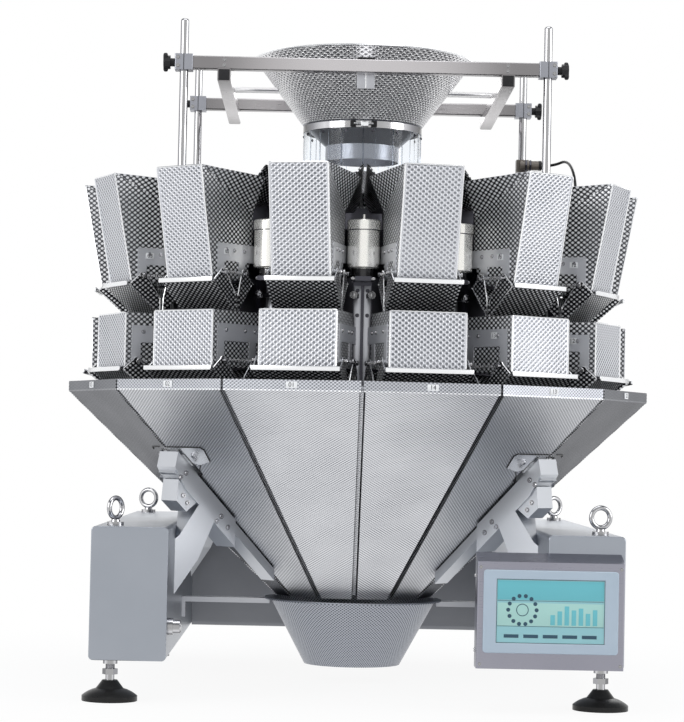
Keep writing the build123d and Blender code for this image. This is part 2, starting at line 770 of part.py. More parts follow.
# Infeed stand: four rods, and a frame with the funnel that is clamped on them at any height
# The clear tube ends just below the cone's apex, and the funnel, frame and rods follow from it
clear_tube_top = cone_apex_z - clear_tube_drop + clear_tube_length
funnel_neck_z = clear_tube_top + clear_tube_lap
funnel_top = funnel_neck_z + funnel_height
cross_tube_z = funnel_top - funnel_rise
rod_top = cross_tube_z + rod_above_tube
rod_spots = [ring_point(azimuth, rod_radius, plate_top) for azimuth in leg_azimuths]
rod_x = rod_radius * sin(radians(2 * pitch))
rod_y = rod_radius * cos(radians(2 * pitch))
with BuildPart() as support_rod:
    with BuildSketch():
        Circle(rod_diameter / 2)
    extrude(amount=rod_top - plate_top)
    fillet(support_rod.faces().sort_by(Axis.Z)[-1].edges(), rod_diameter * 0.3)
    with BuildSketch():
        Circle(rod_socket_diameter / 2)
    extrude(amount=rod_socket_height)
    chamfer(support_rod.faces().filter_by(Axis.Z).group_by(Axis.Z)[-2].edges().sort_by(SortBy.RADIUS)[-1], 2)
with BuildPart() as support_rods:
    with Locations(*rod_spots):
        add(support_rod.part)
keep(support_rods.part, "support_rods")

side_bar_z = cross_tube_z - tube_size
tube_end_x = rod_x - clamp_width / 2
spout_top = funnel_neck_z - spout_taper_height
with BuildPart() as infeed_frame:
    for y in (-rod_y, rod_y):
        with BuildSketch(Plane.YZ.offset(-tube_end_x)):
            with Locations((y, cross_tube_z)):
                RectangleRounded(tube_size, tube_size, 3)
                Rectangle(tube_size - 2 * tube_wall, tube_size - 2 * tube_wall, mode=Mode.SUBTRACT)
        extrude(amount=2 * tube_end_x)
    for x in (-side_bar_x, side_bar_x):
        with BuildSketch(Plane.XZ.offset(-rod_y - tube_size)):
            with Locations((x, side_bar_z)):
                RectangleRounded(tube_size, tube_size, 3)
                Rectangle(tube_size - 2 * tube_wall, tube_size - 2 * tube_wall, mode=Mode.SUBTRACT)
        extrude(amount=2 * (rod_y + tube_size))
keep(infeed_frame.part, "infeed_frame")

with BuildPart() as clamp_blocks:
    with Locations(*[(x, y, cross_tube_z) for x in (-rod_x, rod_x) for y in (-rod_y, rod_y)]):
        Box(clamp_width, clamp_length, clamp_height)
        Cylinder(rod_diameter / 2 + slide_clearance, clamp_height, mode=Mode.SUBTRACT)
    fillet(clamp_blocks.edges().filter_by(Axis.Z).group_by(Axis.Y)[0], 2)
keep(clamp_blocks.part, "clamp_blocks")

with BuildPart() as clamp_knobs:
    for side in (-1, 1):
        for y in (-rod_y, rod_y):
            with BuildSketch(Plane.YZ.offset(side * (rod_x + clamp_width / 2))):
                with Locations((y, cross_tube_z)):
                    Circle(knob_diameter * 0.3)
            extrude(amount=side * knob_length * 0.4)
            with BuildSketch(Plane.YZ.offset(side * (rod_x + clamp_width / 2 + knob_length * 0.4))):
                with Locations((y, cross_tube_z)):
                    RegularPolygon(knob_diameter / 2, 8)
            extrude(amount=side * knob_length * 0.6)
keep(clamp_knobs.part, "clamp_knobs")

funnel_lean = (funnel_top_radius - funnel_neck_radius) / (funnel_top - funnel_neck_z)


def funnel_radius(z):
    """Outer radius of the funnel's cone at a height."""
    return funnel_neck_radius + (z - funnel_neck_z) * funnel_lean + funnel_wall


with BuildPart() as infeed_funnel:
    with BuildSketch(Plane.XZ):
        Polygon((funnel_top_radius, funnel_top), (funnel_neck_radius, funnel_neck_z),
                (spout_radius, spout_top), (spout_radius, spout_top - spout_length),
                (spout_radius + funnel_wall, spout_top - spout_length),
                (spout_radius + funnel_wall, spout_top),
                (funnel_neck_radius - 2, funnel_neck_z - 4), (funnel_neck_radius - 2, clear_tube_top),
                (funnel_neck_radius + funnel_wall, clear_tube_top),
                (funnel_neck_radius + funnel_wall, funnel_neck_z),
                (funnel_top_radius + funnel_wall, funnel_top), align=None)
    revolve(axis=Axis.Z)
    for side in (-1, 1):
        with BuildSketch(Plane.YZ):
            Polygon((side * (funnel_radius(cross_tube_z - 20) - 1), cross_tube_z - 20),
                    (side * (rod_y - tube_size / 2), cross_tube_z - 14),
                    (side * (rod_y - tube_size / 2), cross_tube_z - tube_size / 2 + 20),
                    (side * (funnel_radius(cross_tube_z + 4) - 1), cross_tube_z + 4), align=None)
        extrude(amount=bracket_width / 2, both=True)
        with BuildSketch(Plane.XZ):
            Polygon((side * (funnel_radius(side_bar_z + 14) - 1), side_bar_z + tube_size / 2),
                    (side * (side_bar_x + tube_size / 2), side_bar_z + tube_size / 2),
                    (side * (side_bar_x + tube_size / 2), side_bar_z + tube_size / 2 + stub_thickness),
                    (side * (funnel_radius(side_bar_z + 14) + 3),
                     side_bar_z + tube_size / 2 + stub_thickness), align=None)
        extrude(amount=tube_size / 2, both=True)
keep(infeed_funnel.part, "infeed_funnel")

with BuildPart() as neck_band:
    with BuildSketch(Plane.XY.offset(funnel_neck_z - band_height)):
        Circle(funnel_neck_radius + funnel_wall + band_thickness)
        Circle(funnel_neck_radius + funnel_wall, mode=Mode.SUBTRACT)
    extrude(amount=band_height)
keep(neck_band.part, "neck_band")

with BuildPart() as clear_tube:
    with BuildSketch(Plane.XY.offset(clear_tube_top - clear_tube_length)):
        Circle(funnel_neck_radius + funnel_wall)
        Circle(funnel_neck_radius + funnel_wall - clear_tube_wall, mode=Mode.SUBTRACT)
    extrude(amount=clear_tube_length)
keep(clear_tube.part, "clear_tube")

# Control panel
panel_back_y = -base_half_length
panel_front_y = panel_back_y - panel_depth
with BuildPart() as hmi_housing:
    with BuildSketch(Plane.YZ.offset(panel_left)):
        Polygon((panel_back_y, panel_bottom), (panel_back_y, panel_top),
                (panel_front_y, panel_top - panel_bevel), (panel_front_y, panel_bottom), align=None)
    extrude(amount=panel_right - panel_left)
    fillet(hmi_housing.edges().filter_by(Axis.Z), 3)
keep(hmi_housing.part, "hmi_housing")

with BuildPart() as hmi_bezel:
    with BuildSketch(Plane.XZ.offset(-panel_front_y)):
        with Locations(((bezel_left + bezel_right) / 2, (bezel_bottom + bezel_top) / 2)):
            RectangleRounded(bezel_right - bezel_left, bezel_top - bezel_bottom, bezel_corner)
        with Locations(((screen_left + screen_right) / 2, (screen_bottom + screen_top) / 2)):
            Rectangle(screen_right - screen_left, screen_top - screen_bottom, mode=Mode.SUBTRACT)
    extrude(amount=bezel_depth)
    chamfer(hmi_bezel.faces().sort_by(Axis.Y)[0].edges(), 1.2)
keep(hmi_bezel.part, "hmi_bezel")

with BuildPart() as hmi_screen:
    with BuildSketch(Plane.XZ.offset(-panel_front_y)):
        with Locations(((screen_left + screen_right) / 2, (screen_bottom + screen_top) / 2)):
            Rectangle(screen_right - screen_left, screen_top - screen_bottom)
    extrude(amount=screen_depth)
keep(hmi_screen.part, "hmi_screen")

# Level sensor, clamped on the rear right-hand rod, and its cable down to the drum
sensor_y = rod_y - sensor_clamp_size / 2 - sensor_diameter / 2 + 2
sensor_z = cone_apex_z + sensor_above_cone
with BuildPart() as level_sensor:
    with Locations((rod_x, rod_y, sensor_z)):
        Box(sensor_clamp_size, sensor_clamp_size, sensor_clamp_size)
        Cylinder(rod_diameter / 2, sensor_clamp_size, mode=Mode.SUBTRACT)
    with BuildSketch(Plane.YZ.offset(rod_x - 6)):
        with Locations((sensor_y, sensor_z)):
            Circle(sensor_diameter / 2)
    extrude(amount=sensor_length)
keep(level_sensor.part, "level_sensor")

gap_azimuth = 4 * pitch
sensor_end = (rod_x - 6 + sensor_length, sensor_y, sensor_z)
cable_points = [
    sensor_end,
    (sensor_end[0] + 26, sensor_y, sensor_z),
    (sensor_end[0] + 54, sensor_y - 44, sensor_z + 10),
    ring_point(gap_azimuth, cable_gap_radius + 4, sensor_z - 48),
    ring_point(gap_azimuth, cable_gap_radius, sensor_z - 128),
    ring_point(gap_azimuth, cable_gap_radius - 2, sensor_z - 212),
    ring_point(gap_azimuth, cable_gap_radius, cable_entry_z + 36),
    ring_point(gap_azimuth, cable_gap_radius - 30, cable_entry_z),
    ring_point(gap_azimuth, corner_post_radius, cable_entry_z),
]
cable_radii = []
for i in range(1, len(cable_points) - 1):
    before = Vector(cable_points[i]) - Vector(cable_points[i - 1])
    after = Vector(cable_points[i + 1]) - Vector(cable_points[i])
    half_turn = radians(before.get_angle(after) / 2)
    cable_radii.append(0.45 * min(before.length, after.length) / tan(half_turn))
print("cable radii", [round(r) for r in cable_radii])
with BuildPart() as sensor_cable:
    with BuildLine() as route:
        FilletPolyline(*cable_points, radius=cable_radii)
    with BuildSketch(Plane(origin=route.line @ 0, z_dir=route.line % 0)):
        Circle(cable_diameter / 2)
    sweep()
keep(sensor_cable.part, "sensor_cable")
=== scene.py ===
# %% [markdown]
# # A fourteen-head weigher, dressed over its CAD frame
# The CAD model already has every sheet, hopper, door and leg at its real size. Blender's work is the
# surface: the dimples pressed into the stainless sheet, the satin and polished metal, the small screws,
# springs and number plates, and the light that makes all of it read as metal.

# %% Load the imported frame
import bpy
import bmesh
import json
from math import pi, sin, cos, radians
from mathutils import Matrix, Vector


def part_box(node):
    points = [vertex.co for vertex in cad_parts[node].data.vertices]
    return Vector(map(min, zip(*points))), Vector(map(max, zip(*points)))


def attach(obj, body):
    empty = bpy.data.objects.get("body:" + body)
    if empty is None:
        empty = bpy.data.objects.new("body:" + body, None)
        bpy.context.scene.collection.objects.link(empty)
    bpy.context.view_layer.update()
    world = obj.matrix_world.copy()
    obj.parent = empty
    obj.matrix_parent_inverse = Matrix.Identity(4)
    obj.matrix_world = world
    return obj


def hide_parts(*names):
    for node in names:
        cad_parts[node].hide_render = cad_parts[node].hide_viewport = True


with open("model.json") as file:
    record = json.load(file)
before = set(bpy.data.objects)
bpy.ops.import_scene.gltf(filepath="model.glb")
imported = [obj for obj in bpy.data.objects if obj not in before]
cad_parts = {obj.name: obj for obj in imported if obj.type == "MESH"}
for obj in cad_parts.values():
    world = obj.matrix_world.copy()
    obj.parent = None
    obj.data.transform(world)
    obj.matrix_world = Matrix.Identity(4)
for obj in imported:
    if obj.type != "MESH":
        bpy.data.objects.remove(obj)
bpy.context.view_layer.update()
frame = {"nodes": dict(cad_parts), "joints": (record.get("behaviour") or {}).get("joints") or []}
nodes = frame["nodes"]


def new_object(name, data):
    thing = bpy.data.objects.new(name, data)
    bpy.context.scene.collection.objects.link(thing)
    return thing


# %% [markdown]
# ## Camera
# The photograph was taken from straight in front with a long lens, at about knee height, and tilted up
# by two degrees. A camera far away with a long lens keeps the uprights almost parallel, as they are
# there. It stands a little to the left of the machine's centre plane, which is why the inner side of
# the left base box shows.

# %% Camera
eye = Vector((-0.08, -4.8, 0.461))
aim = Vector((-0.0315, 0.0, 0.635))
roll = radians(1.2)
focal_pixels, picture_pixels = 2400, 722
camera_data = bpy.data.cameras.new("camera")
camera_data.sensor_fit = "AUTO"
camera_data.sensor_width = 36.0
camera_data.lens = focal_pixels / picture_pixels * camera_data.sensor_width
camera = new_object("camera", camera_data)
turn = (aim - eye).to_track_quat("-Z", "Y").to_matrix().to_4x4()
camera.matrix_world = Matrix.Translation(eye) @ turn @ Matrix.Rotation(roll, 4, "Z")
bpy.context.scene.camera = camera
print("camera at", tuple(round(v, 3) for v in eye))


# %% Helpers for shader nodes
def set_inputs(node, **values):
    """Set some of a node's inputs. A space in an input's name is written as _ here."""
    for label, value in values.items():
        node.inputs[label.replace("_", " ")].default_value = value


def add_node(tree, kind, **values):
    node = tree.nodes.new("ShaderNode" + kind)
    set_inputs(node, **values)
    return node


def calc(tree, operation, *values):
    """One sum on sockets or numbers."""
    node = add_node(tree, "Math")
    node.operation = operation
    for socket, value in zip(node.inputs, values):
        if isinstance(value, (int, float)):
            socket.default_value = value
        else:
            tree.links.new(value, socket)
    return node.outputs[0]


def times(tree, a, b):
    return calc(tree, "MULTIPLY", a, b)


def soft_step(tree, value, low, high, start=0.0):
    """A smooth climb from start to 1 between two levels of the value."""
    node = add_node(tree, "MapRange", From_Min=low, From_Max=high, To_Min=start)
    node.interpolation_type = "SMOOTHSTEP"
    tree.links.new(value, node.inputs["Value"])
    return node.outputs["Result"]


def mixed(tree, factor, first, second, blend="MIX"):
    """A colour made of two. Each of the values is a socket, or else a colour or a number."""
    node = add_node(tree, "Mix")
    node.data_type = "RGBA"
    node.blend_type = blend
    for label, value in (("Factor", factor), ("A", first), ("B", second)):
        if isinstance(value, tuple):
            node.inputs[label].default_value = (*value, 1)
        elif isinstance(value, float):
            node.inputs[label].default_value = value
        else:
            tree.links.new(value, node.inputs[label])
    return node.outputs["Result"]


def place_parts(tree, kind="Object"):
    """The x, y and z of the point, or of the surface's direction."""
    where, parts = add_node(tree, "TexCoord"), add_node(tree, "SeparateXYZ")
    tree.links.new(where.outputs[kind], parts.inputs[0])
    return parts.outputs


def length_of(tree, a, b):
    return calc(tree, "SQRT", calc(tree, "ADD", times(tree, a, a), times(tree, b, b)))


def seen_share(tree):
    """1 for a ray from the camera, from a mirror or through glass, and 0 for a ray of plain light."""
    rays = add_node(tree, "LightPath")
    seen = rays.outputs["Is Camera Ray"]
    for kind in ("Is Glossy Ray", "Is Transmission Ray"):
        seen = calc(tree, "MAXIMUM", seen, rays.outputs[kind])
    return seen


def mix_shaders(tree, factor, plain, seen, out):
    """Put one of two shaders out: the plain one at 0 and the seen one at 1."""
    choose = add_node(tree, "MixShader")
    for value, socket in zip((factor, plain.outputs[0], seen.outputs[0]), choose.inputs):
        tree.links.new(value, socket)
    tree.links.new(choose.outputs[0], out.inputs["Surface"])


# %% [markdown]
# ## Light and floor
# Metal shows what stands around it, so a studio for metal is built from large pale panels with dark
# gaps between them. Two wide panels light the front from well out to the sides, so that no flat front
# mirrors them. The backdrop is white up to above the machine and darkens overhead. Metal and glass show
# that same backdrop, while the light that falls on the machine from round about is a plain middle grey.

# %% World
world = bpy.data.worlds.new("studio")
bpy.context.scene.world = world
world.use_nodes = True
studio = world.node_tree
studio.nodes.clear()
surround = add_node(studio, "Background", Color=(0.55, 0.56, 0.58, 1), Strength=0.9)
backdrop, overhead = add_node(studio, "Background"), add_node(studio, "ValToRGB")
white_end, dim_end = overhead.color_ramp.elements
white_end.position, white_end.color = 0.32, (1, 1, 1, 1)
dim_end.position, dim_end.color = 0.75, (0.22, 0.23, 0.25, 1)
studio.links.new(place_parts(studio, "Generated")["Z"], overhead.inputs["Fac"])
studio.links.new(overhead.outputs["Color"], backdrop.inputs["Color"])
mix_shaders(studio, seen_share(studio), surround, backdrop, add_node(studio, "OutputWorld"))


# %% Lamps
def soft_panel(name, place, target, size, power):
    lamp_data = bpy.data.lights.new(name, "AREA")
    lamp_data.shape = "RECTANGLE"
    lamp_data.size, lamp_data.size_y = size
    lamp_data.energy = power
    lamp = new_object(name, lamp_data)
    lamp.location = place
    lamp.rotation_euler = (Vector(target) - Vector(place)).to_track_quat("-Z", "Y").to_euler()


soft_panel("front_left_panel", (-3.3, -2.7, 2.0), (0, 0, 0.7), (2.2, 2.6), 60)
soft_panel("front_right_panel", (3.9, -1.5, 1.6), (0, 0, 0.7), (2.0, 2.4), 50)
soft_panel("top_panel", (0, -0.8, 3.4), (0, 0, 0.6), (2.8, 2.4), 40)
soft_panel("back_panel", (0.6, 3.0, 2.4), (0, 0, 0.8), (2.6, 1.8), 30)

# %% Floor
floor_mesh = bmesh.new()
bmesh.ops.create_grid(floor_mesh, x_segments=1, y_segments=1, size=6)
floor_data = bpy.data.meshes.new("floor")
floor_mesh.to_mesh(floor_data)
floor = new_object("floor", floor_data)
floor_material = bpy.data.materials.new("floor_paint")
floor_material.use_nodes = True
floor_tree = floor_material.node_tree
floor_paint = floor_tree.nodes["Principled BSDF"]
set_inputs(floor_paint, Base_Color=(0.80, 0.81, 0.82, 1), Roughness=0.8)
floor_white = add_node(floor_tree, "Emission", Color=(1, 1, 1, 1))
floor_x, floor_y = place_parts(floor_tree)[:2]
far_white = soft_step(floor_tree, length_of(floor_tree, floor_x, floor_y), 0.5, 1.5, 0.92)
white_share = times(floor_tree, seen_share(floor_tree), far_white)
mix_shaders(floor_tree, white_share, floor_paint, floor_white, floor_tree.nodes["Material Output"])
floor_data.materials.append(floor_material)

# %% [markdown]
# ## Sheet coordinates
# The sheets lie in fourteen directions round the axis, and a pattern pressed into them runs along each
# sheet. A node group works out where a point lies on its own sheet: it finds which head the point
# belongs to from its angle round the axis, turns it to the front, and then measures across the sheet
# and along it. A UV map would do the same, but it would have to be made for each sheet by hand.

# %% Helpers for node groups
pitch_angle = 2 * pi / 14


def new_group(name, inputs, outputs):
    """A node group. Each input is a label with its first value, and each output is a label."""
    group = bpy.data.node_groups.new(name, "ShaderNodeTree")
    for label, value in inputs:
        kind = "NodeSocketVector" if isinstance(value, tuple) else "NodeSocketFloat"
        group.interface.new_socket(label, in_out="INPUT", socket_type=kind).default_value = value
    for label in outputs:
        group.interface.new_socket(label, in_out="OUTPUT", socket_type="NodeSocketFloat")
    return group, group.nodes.new("NodeGroupInput"), group.nodes.new("NodeGroupOutput")


def put_out(group, group_out, **values):
    for label, value in values.items():
        group.links.new(value, group_out.inputs[label.replace("_", " ")])


def blend_values(tree, factor, low, high):
    return calc(tree, "ADD", times(tree, low, calc(tree, "SUBTRACT", 1.0, factor)), times(tree, high, factor))


def sum_of_products(tree, operation, a, b, c, d):
    """a times b, and c times d added to it or taken from it."""
    return calc(tree, operation, times(tree, a, b), times(tree, c, d))


# %% Sheet coordinates group
head_sheet, _, sheet_out = new_group(
    "head_sheet", [], ["Across", "Along", "Sideways", "Side wall", "Outward"])
side_wall_from = 0.62    # a wall that faces more sideways than this is a hopper's side wall
x, y, z = place_parts(head_sheet)
nx, ny, nz = place_parts(head_sheet, "Normal")
angle = calc(head_sheet, "ARCTAN2", x, times(head_sheet, y, -1.0))
sector = calc(head_sheet, "FLOOR", calc(head_sheet, "DIVIDE", angle, pitch_angle))
middle = times(head_sheet, calc(head_sheet, "ADD", sector, 0.5), pitch_angle)
c, s = calc(head_sheet, "COSINE", middle), calc(head_sheet, "SINE", middle)
t, r = sum_of_products(head_sheet, "ADD", x, c, y, s), sum_of_products(head_sheet, "SUBTRACT", x, s, y, c)
nt, nr = sum_of_products(head_sheet, "ADD", nx, c, ny, s), sum_of_products(head_sheet, "SUBTRACT", nx, s, ny, c)
side_wall = calc(head_sheet, "GREATER_THAN", calc(head_sheet, "ABSOLUTE", nt), side_wall_from)
face_along = sum_of_products(head_sheet, "SUBTRACT", z, nr, r, nz)
side_along = sum_of_products(head_sheet, "SUBTRACT", z, nt, t, nz)
put_out(head_sheet, sheet_out, Across=blend_values(head_sheet, side_wall, t, r),
        Along=blend_values(head_sheet, side_wall, face_along, side_along),
        Sideways=calc(head_sheet, "ABSOLUTE", t), Side_wall=side_wall, Outward=r)
print("sheet coordinates:", len(head_sheet.nodes), "nodes")

# %% [markdown]
# ## Dimples
# Food sheet is rolled with rows of small domes, each row set half a step from the next, so that sticky
# product touches only their tops. The group draws one dome in every cell of a grid turned by 45
# degrees. It gives a height for a Bump node and a mask for the tops. The sheets use that mask for painted
# shade on the domes of a bright sheet and for painted highlights on the domes of a dark one.

# %% Dimple group
dimples, dimple_in, dimple_out = new_group(
    "dimples", [("Across", 0.0), ("Along", 0.0), ("Pitch", 0.008), ("Size", 0.46)], ["Height", "Top"])
across, along, pitch_in, size_in = dimple_in.outputs[:4]
off_cell = []
for operation in ("ADD", "SUBTRACT"):
    cells = calc(dimples, "DIVIDE", calc(dimples, operation, across, along), pitch_in)
    off_cell.append(calc(dimples, "SUBTRACT", calc(dimples, "FRACT", cells), 0.5))
level = calc(dimples, "SUBTRACT", 1.0, calc(dimples, "DIVIDE", length_of(dimples, *off_cell), size_in))
level = calc(dimples, "MAXIMUM", level, 0.0)
hollow = calc(dimples, "POWER", calc(dimples, "SUBTRACT", 1.0, level), 2.0)
dome = calc(dimples, "SQRT", calc(dimples, "SUBTRACT", 1.0, hollow))
put_out(dimples, dimple_out, Height=dome, Top=soft_step(dimples, level, 0.15, 0.6))

# %% [markdown]
# ## Rolled grain
# Plain stainless isn't one grey. Rolling and brushing leave fine lines, and handling leaves faint
# cloudy patches. One group gives both: a stretched noise for the lines and a wide soft one for the
# patches.

# %% Grain group
grain, grain_in, grain_out = new_group("grain", [("Stretch", (40, 40, 900)), ("Cloud scale", 5.0)],
                                       ["Lines", "Cloud"])
grain_place, stretched = add_node(grain, "TexCoord"), add_node(grain, "VectorMath")
stretched.operation = "MULTIPLY"
grain.links.new(grain_place.outputs["Object"], stretched.inputs[0])
grain.links.new(grain_in.outputs["Stretch"], stretched.inputs[1])
lines, cloud = add_node(grain, "TexNoise", Scale=1.0, Detail=3.0), add_node(grain, "TexNoise", Detail=4.0)
grain.links.new(stretched.outputs[0], lines.inputs["Vector"])
grain.links.new(grain_place.outputs["Object"], cloud.inputs["Vector"])
grain.links.new(grain_in.outputs["Cloud scale"], cloud.inputs["Scale"])
put_out(grain, grain_out, Lines=lines.outputs["Fac"], Cloud=cloud.outputs["Fac"])

# %% [markdown]
# ## Materials
# Every metal here is the same Principled shader with other numbers. What tells them apart is how
# rough they are and what runs over them, so one helper lays the grain on any of them.


# %% Material helpers
def principled(material, **values):
    """The material's shader, with some of its inputs set."""
    shader = material.node_tree.nodes["Principled BSDF"]
    set_inputs(shader, **values)
    return shader


def new_material(name, colour, roughness, metallic=0.0):
    material = bpy.data.materials.new(name)
    material.use_nodes = True
    principled(material, Base_Color=(*colour, 1), Roughness=roughness, Metallic=metallic)
    return material


def group_node(material, group, **values):
    node = add_node(material.node_tree, "Group")
    node.node_tree = group
    set_inputs(node, **values)
    return node


def value_range(material, factor, low, high):
    node = add_node(material.node_tree, "MapRange", To_Min=low, To_Max=high)
    material.node_tree.links.new(factor, node.inputs["Value"])
    return node.outputs["Result"]


def dress(material, colour, roughness, height, depth, strength=1.0):
    """Link a colour, a roughness and a bump to the material's shader."""
    tree, shader = material.node_tree, principled(material)
    node = add_node(tree, "Bump", Strength=strength, Distance=depth)
    tree.links.new(height, node.inputs["Height"])
    for value, label in ((colour, "Base Color"), (roughness, "Roughness"), (node.outputs["Normal"], "Normal")):
        tree.links.new(value, shader.inputs[label])


def tint(material, factor, colour):
    """Multiply the base colour by another one where the factor is 1."""
    tree, base = material.node_tree, principled(material).inputs["Base Color"]
    tree.links.new(mixed(tree, factor, base.links[0].from_socket, colour, "MULTIPLY"), base)


def facing_away(tree):
    """0 where the surface faces the eye and 1 where it turns away."""
    return add_node(tree, "LayerWeight", Blend=0.5).outputs["Facing"]


def grained(name, low, high, roughness, stretch, depth, metallic, strength, cloud_scale):
    material = new_material(name, high, roughness[0], metallic)
    texture = group_node(material, grain, Stretch=stretch, Cloud_scale=cloud_scale)
    fine = texture.outputs["Lines"]
    dress(material, mixed(material.node_tree, texture.outputs["Cloud"], low, high),
          value_range(material, fine, *roughness), fine, depth, strength)
    return material


def grained_metal(name, low, high, roughness, stretch, depth=0.00004, metallic=1.0):
    return grained(name, low, high, roughness, stretch, depth, metallic, 0.5, 5.0)


def mottled(name, low, high, roughness, scale, depth=0.00003, metallic=0.0):
    return grained(name, low, high, roughness, (scale,) * 3, depth, metallic, 0.4, 14.0)


# %% Dimpled sheet
def walls_and_front(material, where, colour, top, inner, front_metal, wall_metal):
    """Painted shade on a hopper's side walls and inner face, with painted highlights on their domes and a
    painted lighter tone near the open edge, and the bright front where it lies far enough out.
    """
    low, high = inner
    tree, outward = material.node_tree, where.outputs["Outward"]
    # painted light: the painted wall shade turns lighter towards the open outer edge
    edge_painted_light = times(tree, soft_step(tree, outward, 0.465, 0.535), 0.22)
    walls = mixed(tree, edge_painted_light, mixed(tree, top, painted_wall_shade, painted_dome_glint), (0.42, 0.43, 0.46))
    # where the sheet lies far enough out and faces forward, the painted wall shade gives way to the sheet's own
    # colour
    lit_part = times(tree, soft_step(tree, outward, low, high),
                     calc(tree, "SUBTRACT", 1.0, where.outputs["Side wall"]))
    metal = calc(tree, "ADD", times(tree, lit_part, front_metal - wall_metal), wall_metal)
    tree.links.new(metal, principled(material, Specular_IOR_Level=0.1).inputs["Metallic"])
    return mixed(tree, lit_part, walls, colour)


def dimpled_sheet(name, pitch, depth, sheet, dot, roughness, half_width=None, inner=None, size=0.46, dim=0.0,
                  front_metal=1.0, wall_metal=1.0):
    """Sheet with dimples. The colour runs from sheet to dot on the domes' tops: painted shade on a bright
    sheet, a painted highlight on a dark one. On the walls, painted shade with painted highlights turns that
    round.
    """
    material = new_material(name, sheet, roughness, 1.0)
    tree = material.node_tree
    where = group_node(material, head_sheet)
    pattern = group_node(material, dimples, Pitch=pitch, Size=size)
    spread, margin = 0.8, 0.004
    tree.links.new(times(tree, where.outputs["Across"], spread), pattern.inputs["Across"])
    tree.links.new(where.outputs["Along"], pattern.inputs["Along"])
    height, top = pattern.outputs["Height"], pattern.outputs["Top"]
    if half_width:
        inside = calc(tree, "LESS_THAN", where.outputs["Sideways"], half_width - margin)
        keep = calc(tree, "MAXIMUM", inside, where.outputs["Side wall"])
        height, top = times(tree, height, keep), times(tree, top, keep)
    cloud = group_node(material, grain, Stretch=(300,) * 3, Cloud_scale=9.0).outputs["Cloud"]
    # the dot colour on each dome's top is painted: shade on a bright sheet, a highlight on a dark one
    colour = mixed(tree, times(tree, top, value_range(material, cloud, 0.55, 1.25)), sheet, dot)
    if inner:
        colour = walls_and_front(material, where, colour, top, inner, front_metal, wall_metal)
    # Where the sheet turns away from the eye it mirrors the dark floor side, so a painted dark reflection dims
    # it there
    turned_away = times(tree, calc(tree, "POWER", facing_away(tree), 3.0), dim)
    dress(material, mixed(tree, turned_away, colour, (0.12, 0.125, 0.14), "MULTIPLY"),
          value_range(material, cloud, roughness - 0.05, roughness + 0.06), height, depth)
    return material


# The dark dot colour is painted shade on the domes of the hopper fronts. The wall colour is painted shade on
# the hoppers' side walls and inner faces, and the bright dot colour is a painted highlight on their domes.
steel, painted_dome_shade = (0.70, 0.71, 0.75), (0.17, 0.18, 0.20)
painted_wall_shade, painted_dome_glint = (0.010, 0.010, 0.013), (0.97, 0.98, 1.0)
feed_sheet, weigh_sheet = (
    dimpled_sheet(name, 0.0094, 0.0009, steel, painted_dome_shade, 0.34, half_width, (lit_from, 0.50), size=0.56,
                  front_metal=0.8, wall_metal=0.45)
    for name, half_width, lit_from in (("feed_hopper_sheet", 0.055, 0.40), ("weigh_hopper_sheet", 0.072, 0.42)))
# On the chutes: painted shade on the domes, painted shade on the flanges that face sideways, and a painted dark
# reflection where the sheet turns from the eye.
chute_sheet = dimpled_sheet("chute_sheet", 0.0060, 0.0004, (0.95, 0.96, 0.99), (0.30, 0.31, 0.34), 0.36,
                            inner=(-1.0, 0.0), size=0.62, dim=2.3)
# The door sheet is painted shade all over, with a painted highlight on each dome; the pans and the top cone
# wear it too.
door_sheet = dimpled_sheet("door_sheet", 0.0090, 0.0009, painted_wall_shade, painted_dome_glint, 0.30)
principled(door_sheet, Metallic=0.5, Specular_IOR_Level=0.1)


def tinted_by_height(material, low, high, colour):
    """Multiply the colour by a tint where the height is between two levels."""
    tree = material.node_tree
    z = place_parts(tree)["Z"]
    inside = times(tree, calc(tree, "GREATER_THAN", z, low), calc(tree, "LESS_THAN", z, high))
    tint(material, inside, colour)


# painted shade: the upright band of the chute sheet is darkened
tinted_by_height(chute_sheet, 0.5625, 0.59, (0.62, 0.63, 0.65))    # the upright band with the number plates


# %% Dimpled funnel
def dimpled_funnel(name, pitch, depth, turns, slant, low, high, roughness, size, plain_below=0.0):
    """Dimples on a round cone: across is the angle round the axis, along is the height."""
    material = new_material(name, high, roughness, 1.0)
    tree = material.node_tree
    x, y, z = place_parts(tree)
    round_angle = calc(tree, "ARCTAN2", x, times(tree, y, -1.0))
    pattern = group_node(material, dimples, Pitch=pitch, Size=size)
    tree.links.new(times(tree, round_angle, turns * pitch / (2 * pi)), pattern.inputs["Across"])
    tree.links.new(times(tree, z, slant), pattern.inputs["Along"])
    cloud = group_node(material, grain, Stretch=(200,) * 3, Cloud_scale=8.0).outputs["Cloud"]
    rolled = calc(tree, "GREATER_THAN", z, plain_below)
    dress(material, mixed(tree, rolled, (0.30, 0.31, 0.34), mixed(tree, pattern.outputs["Top"], low, high)),
          value_range(material, cloud, roughness - 0.05, roughness + 0.05),
          times(tree, pattern.outputs["Height"], rolled), depth)
    return material


# Both funnels carry painted shade on each dome's top. The collecting funnel, under the chutes, is painted
# darker all over: painted shade.
infeed_sheet = dimpled_funnel("infeed_funnel_sheet", 0.0095, 0.0009, 96, 1.25,
                              (0.98, 0.98, 0.99), (0.24, 0.24, 0.26), 0.36, 0.40, 1.106)
outlet_sheet = dimpled_funnel("collecting_funnel_sheet", 0.0060, 0.0004, 134, 1.14,
                              (0.46, 0.48, 0.53), (0.10, 0.11, 0.13), 0.34, 0.56)


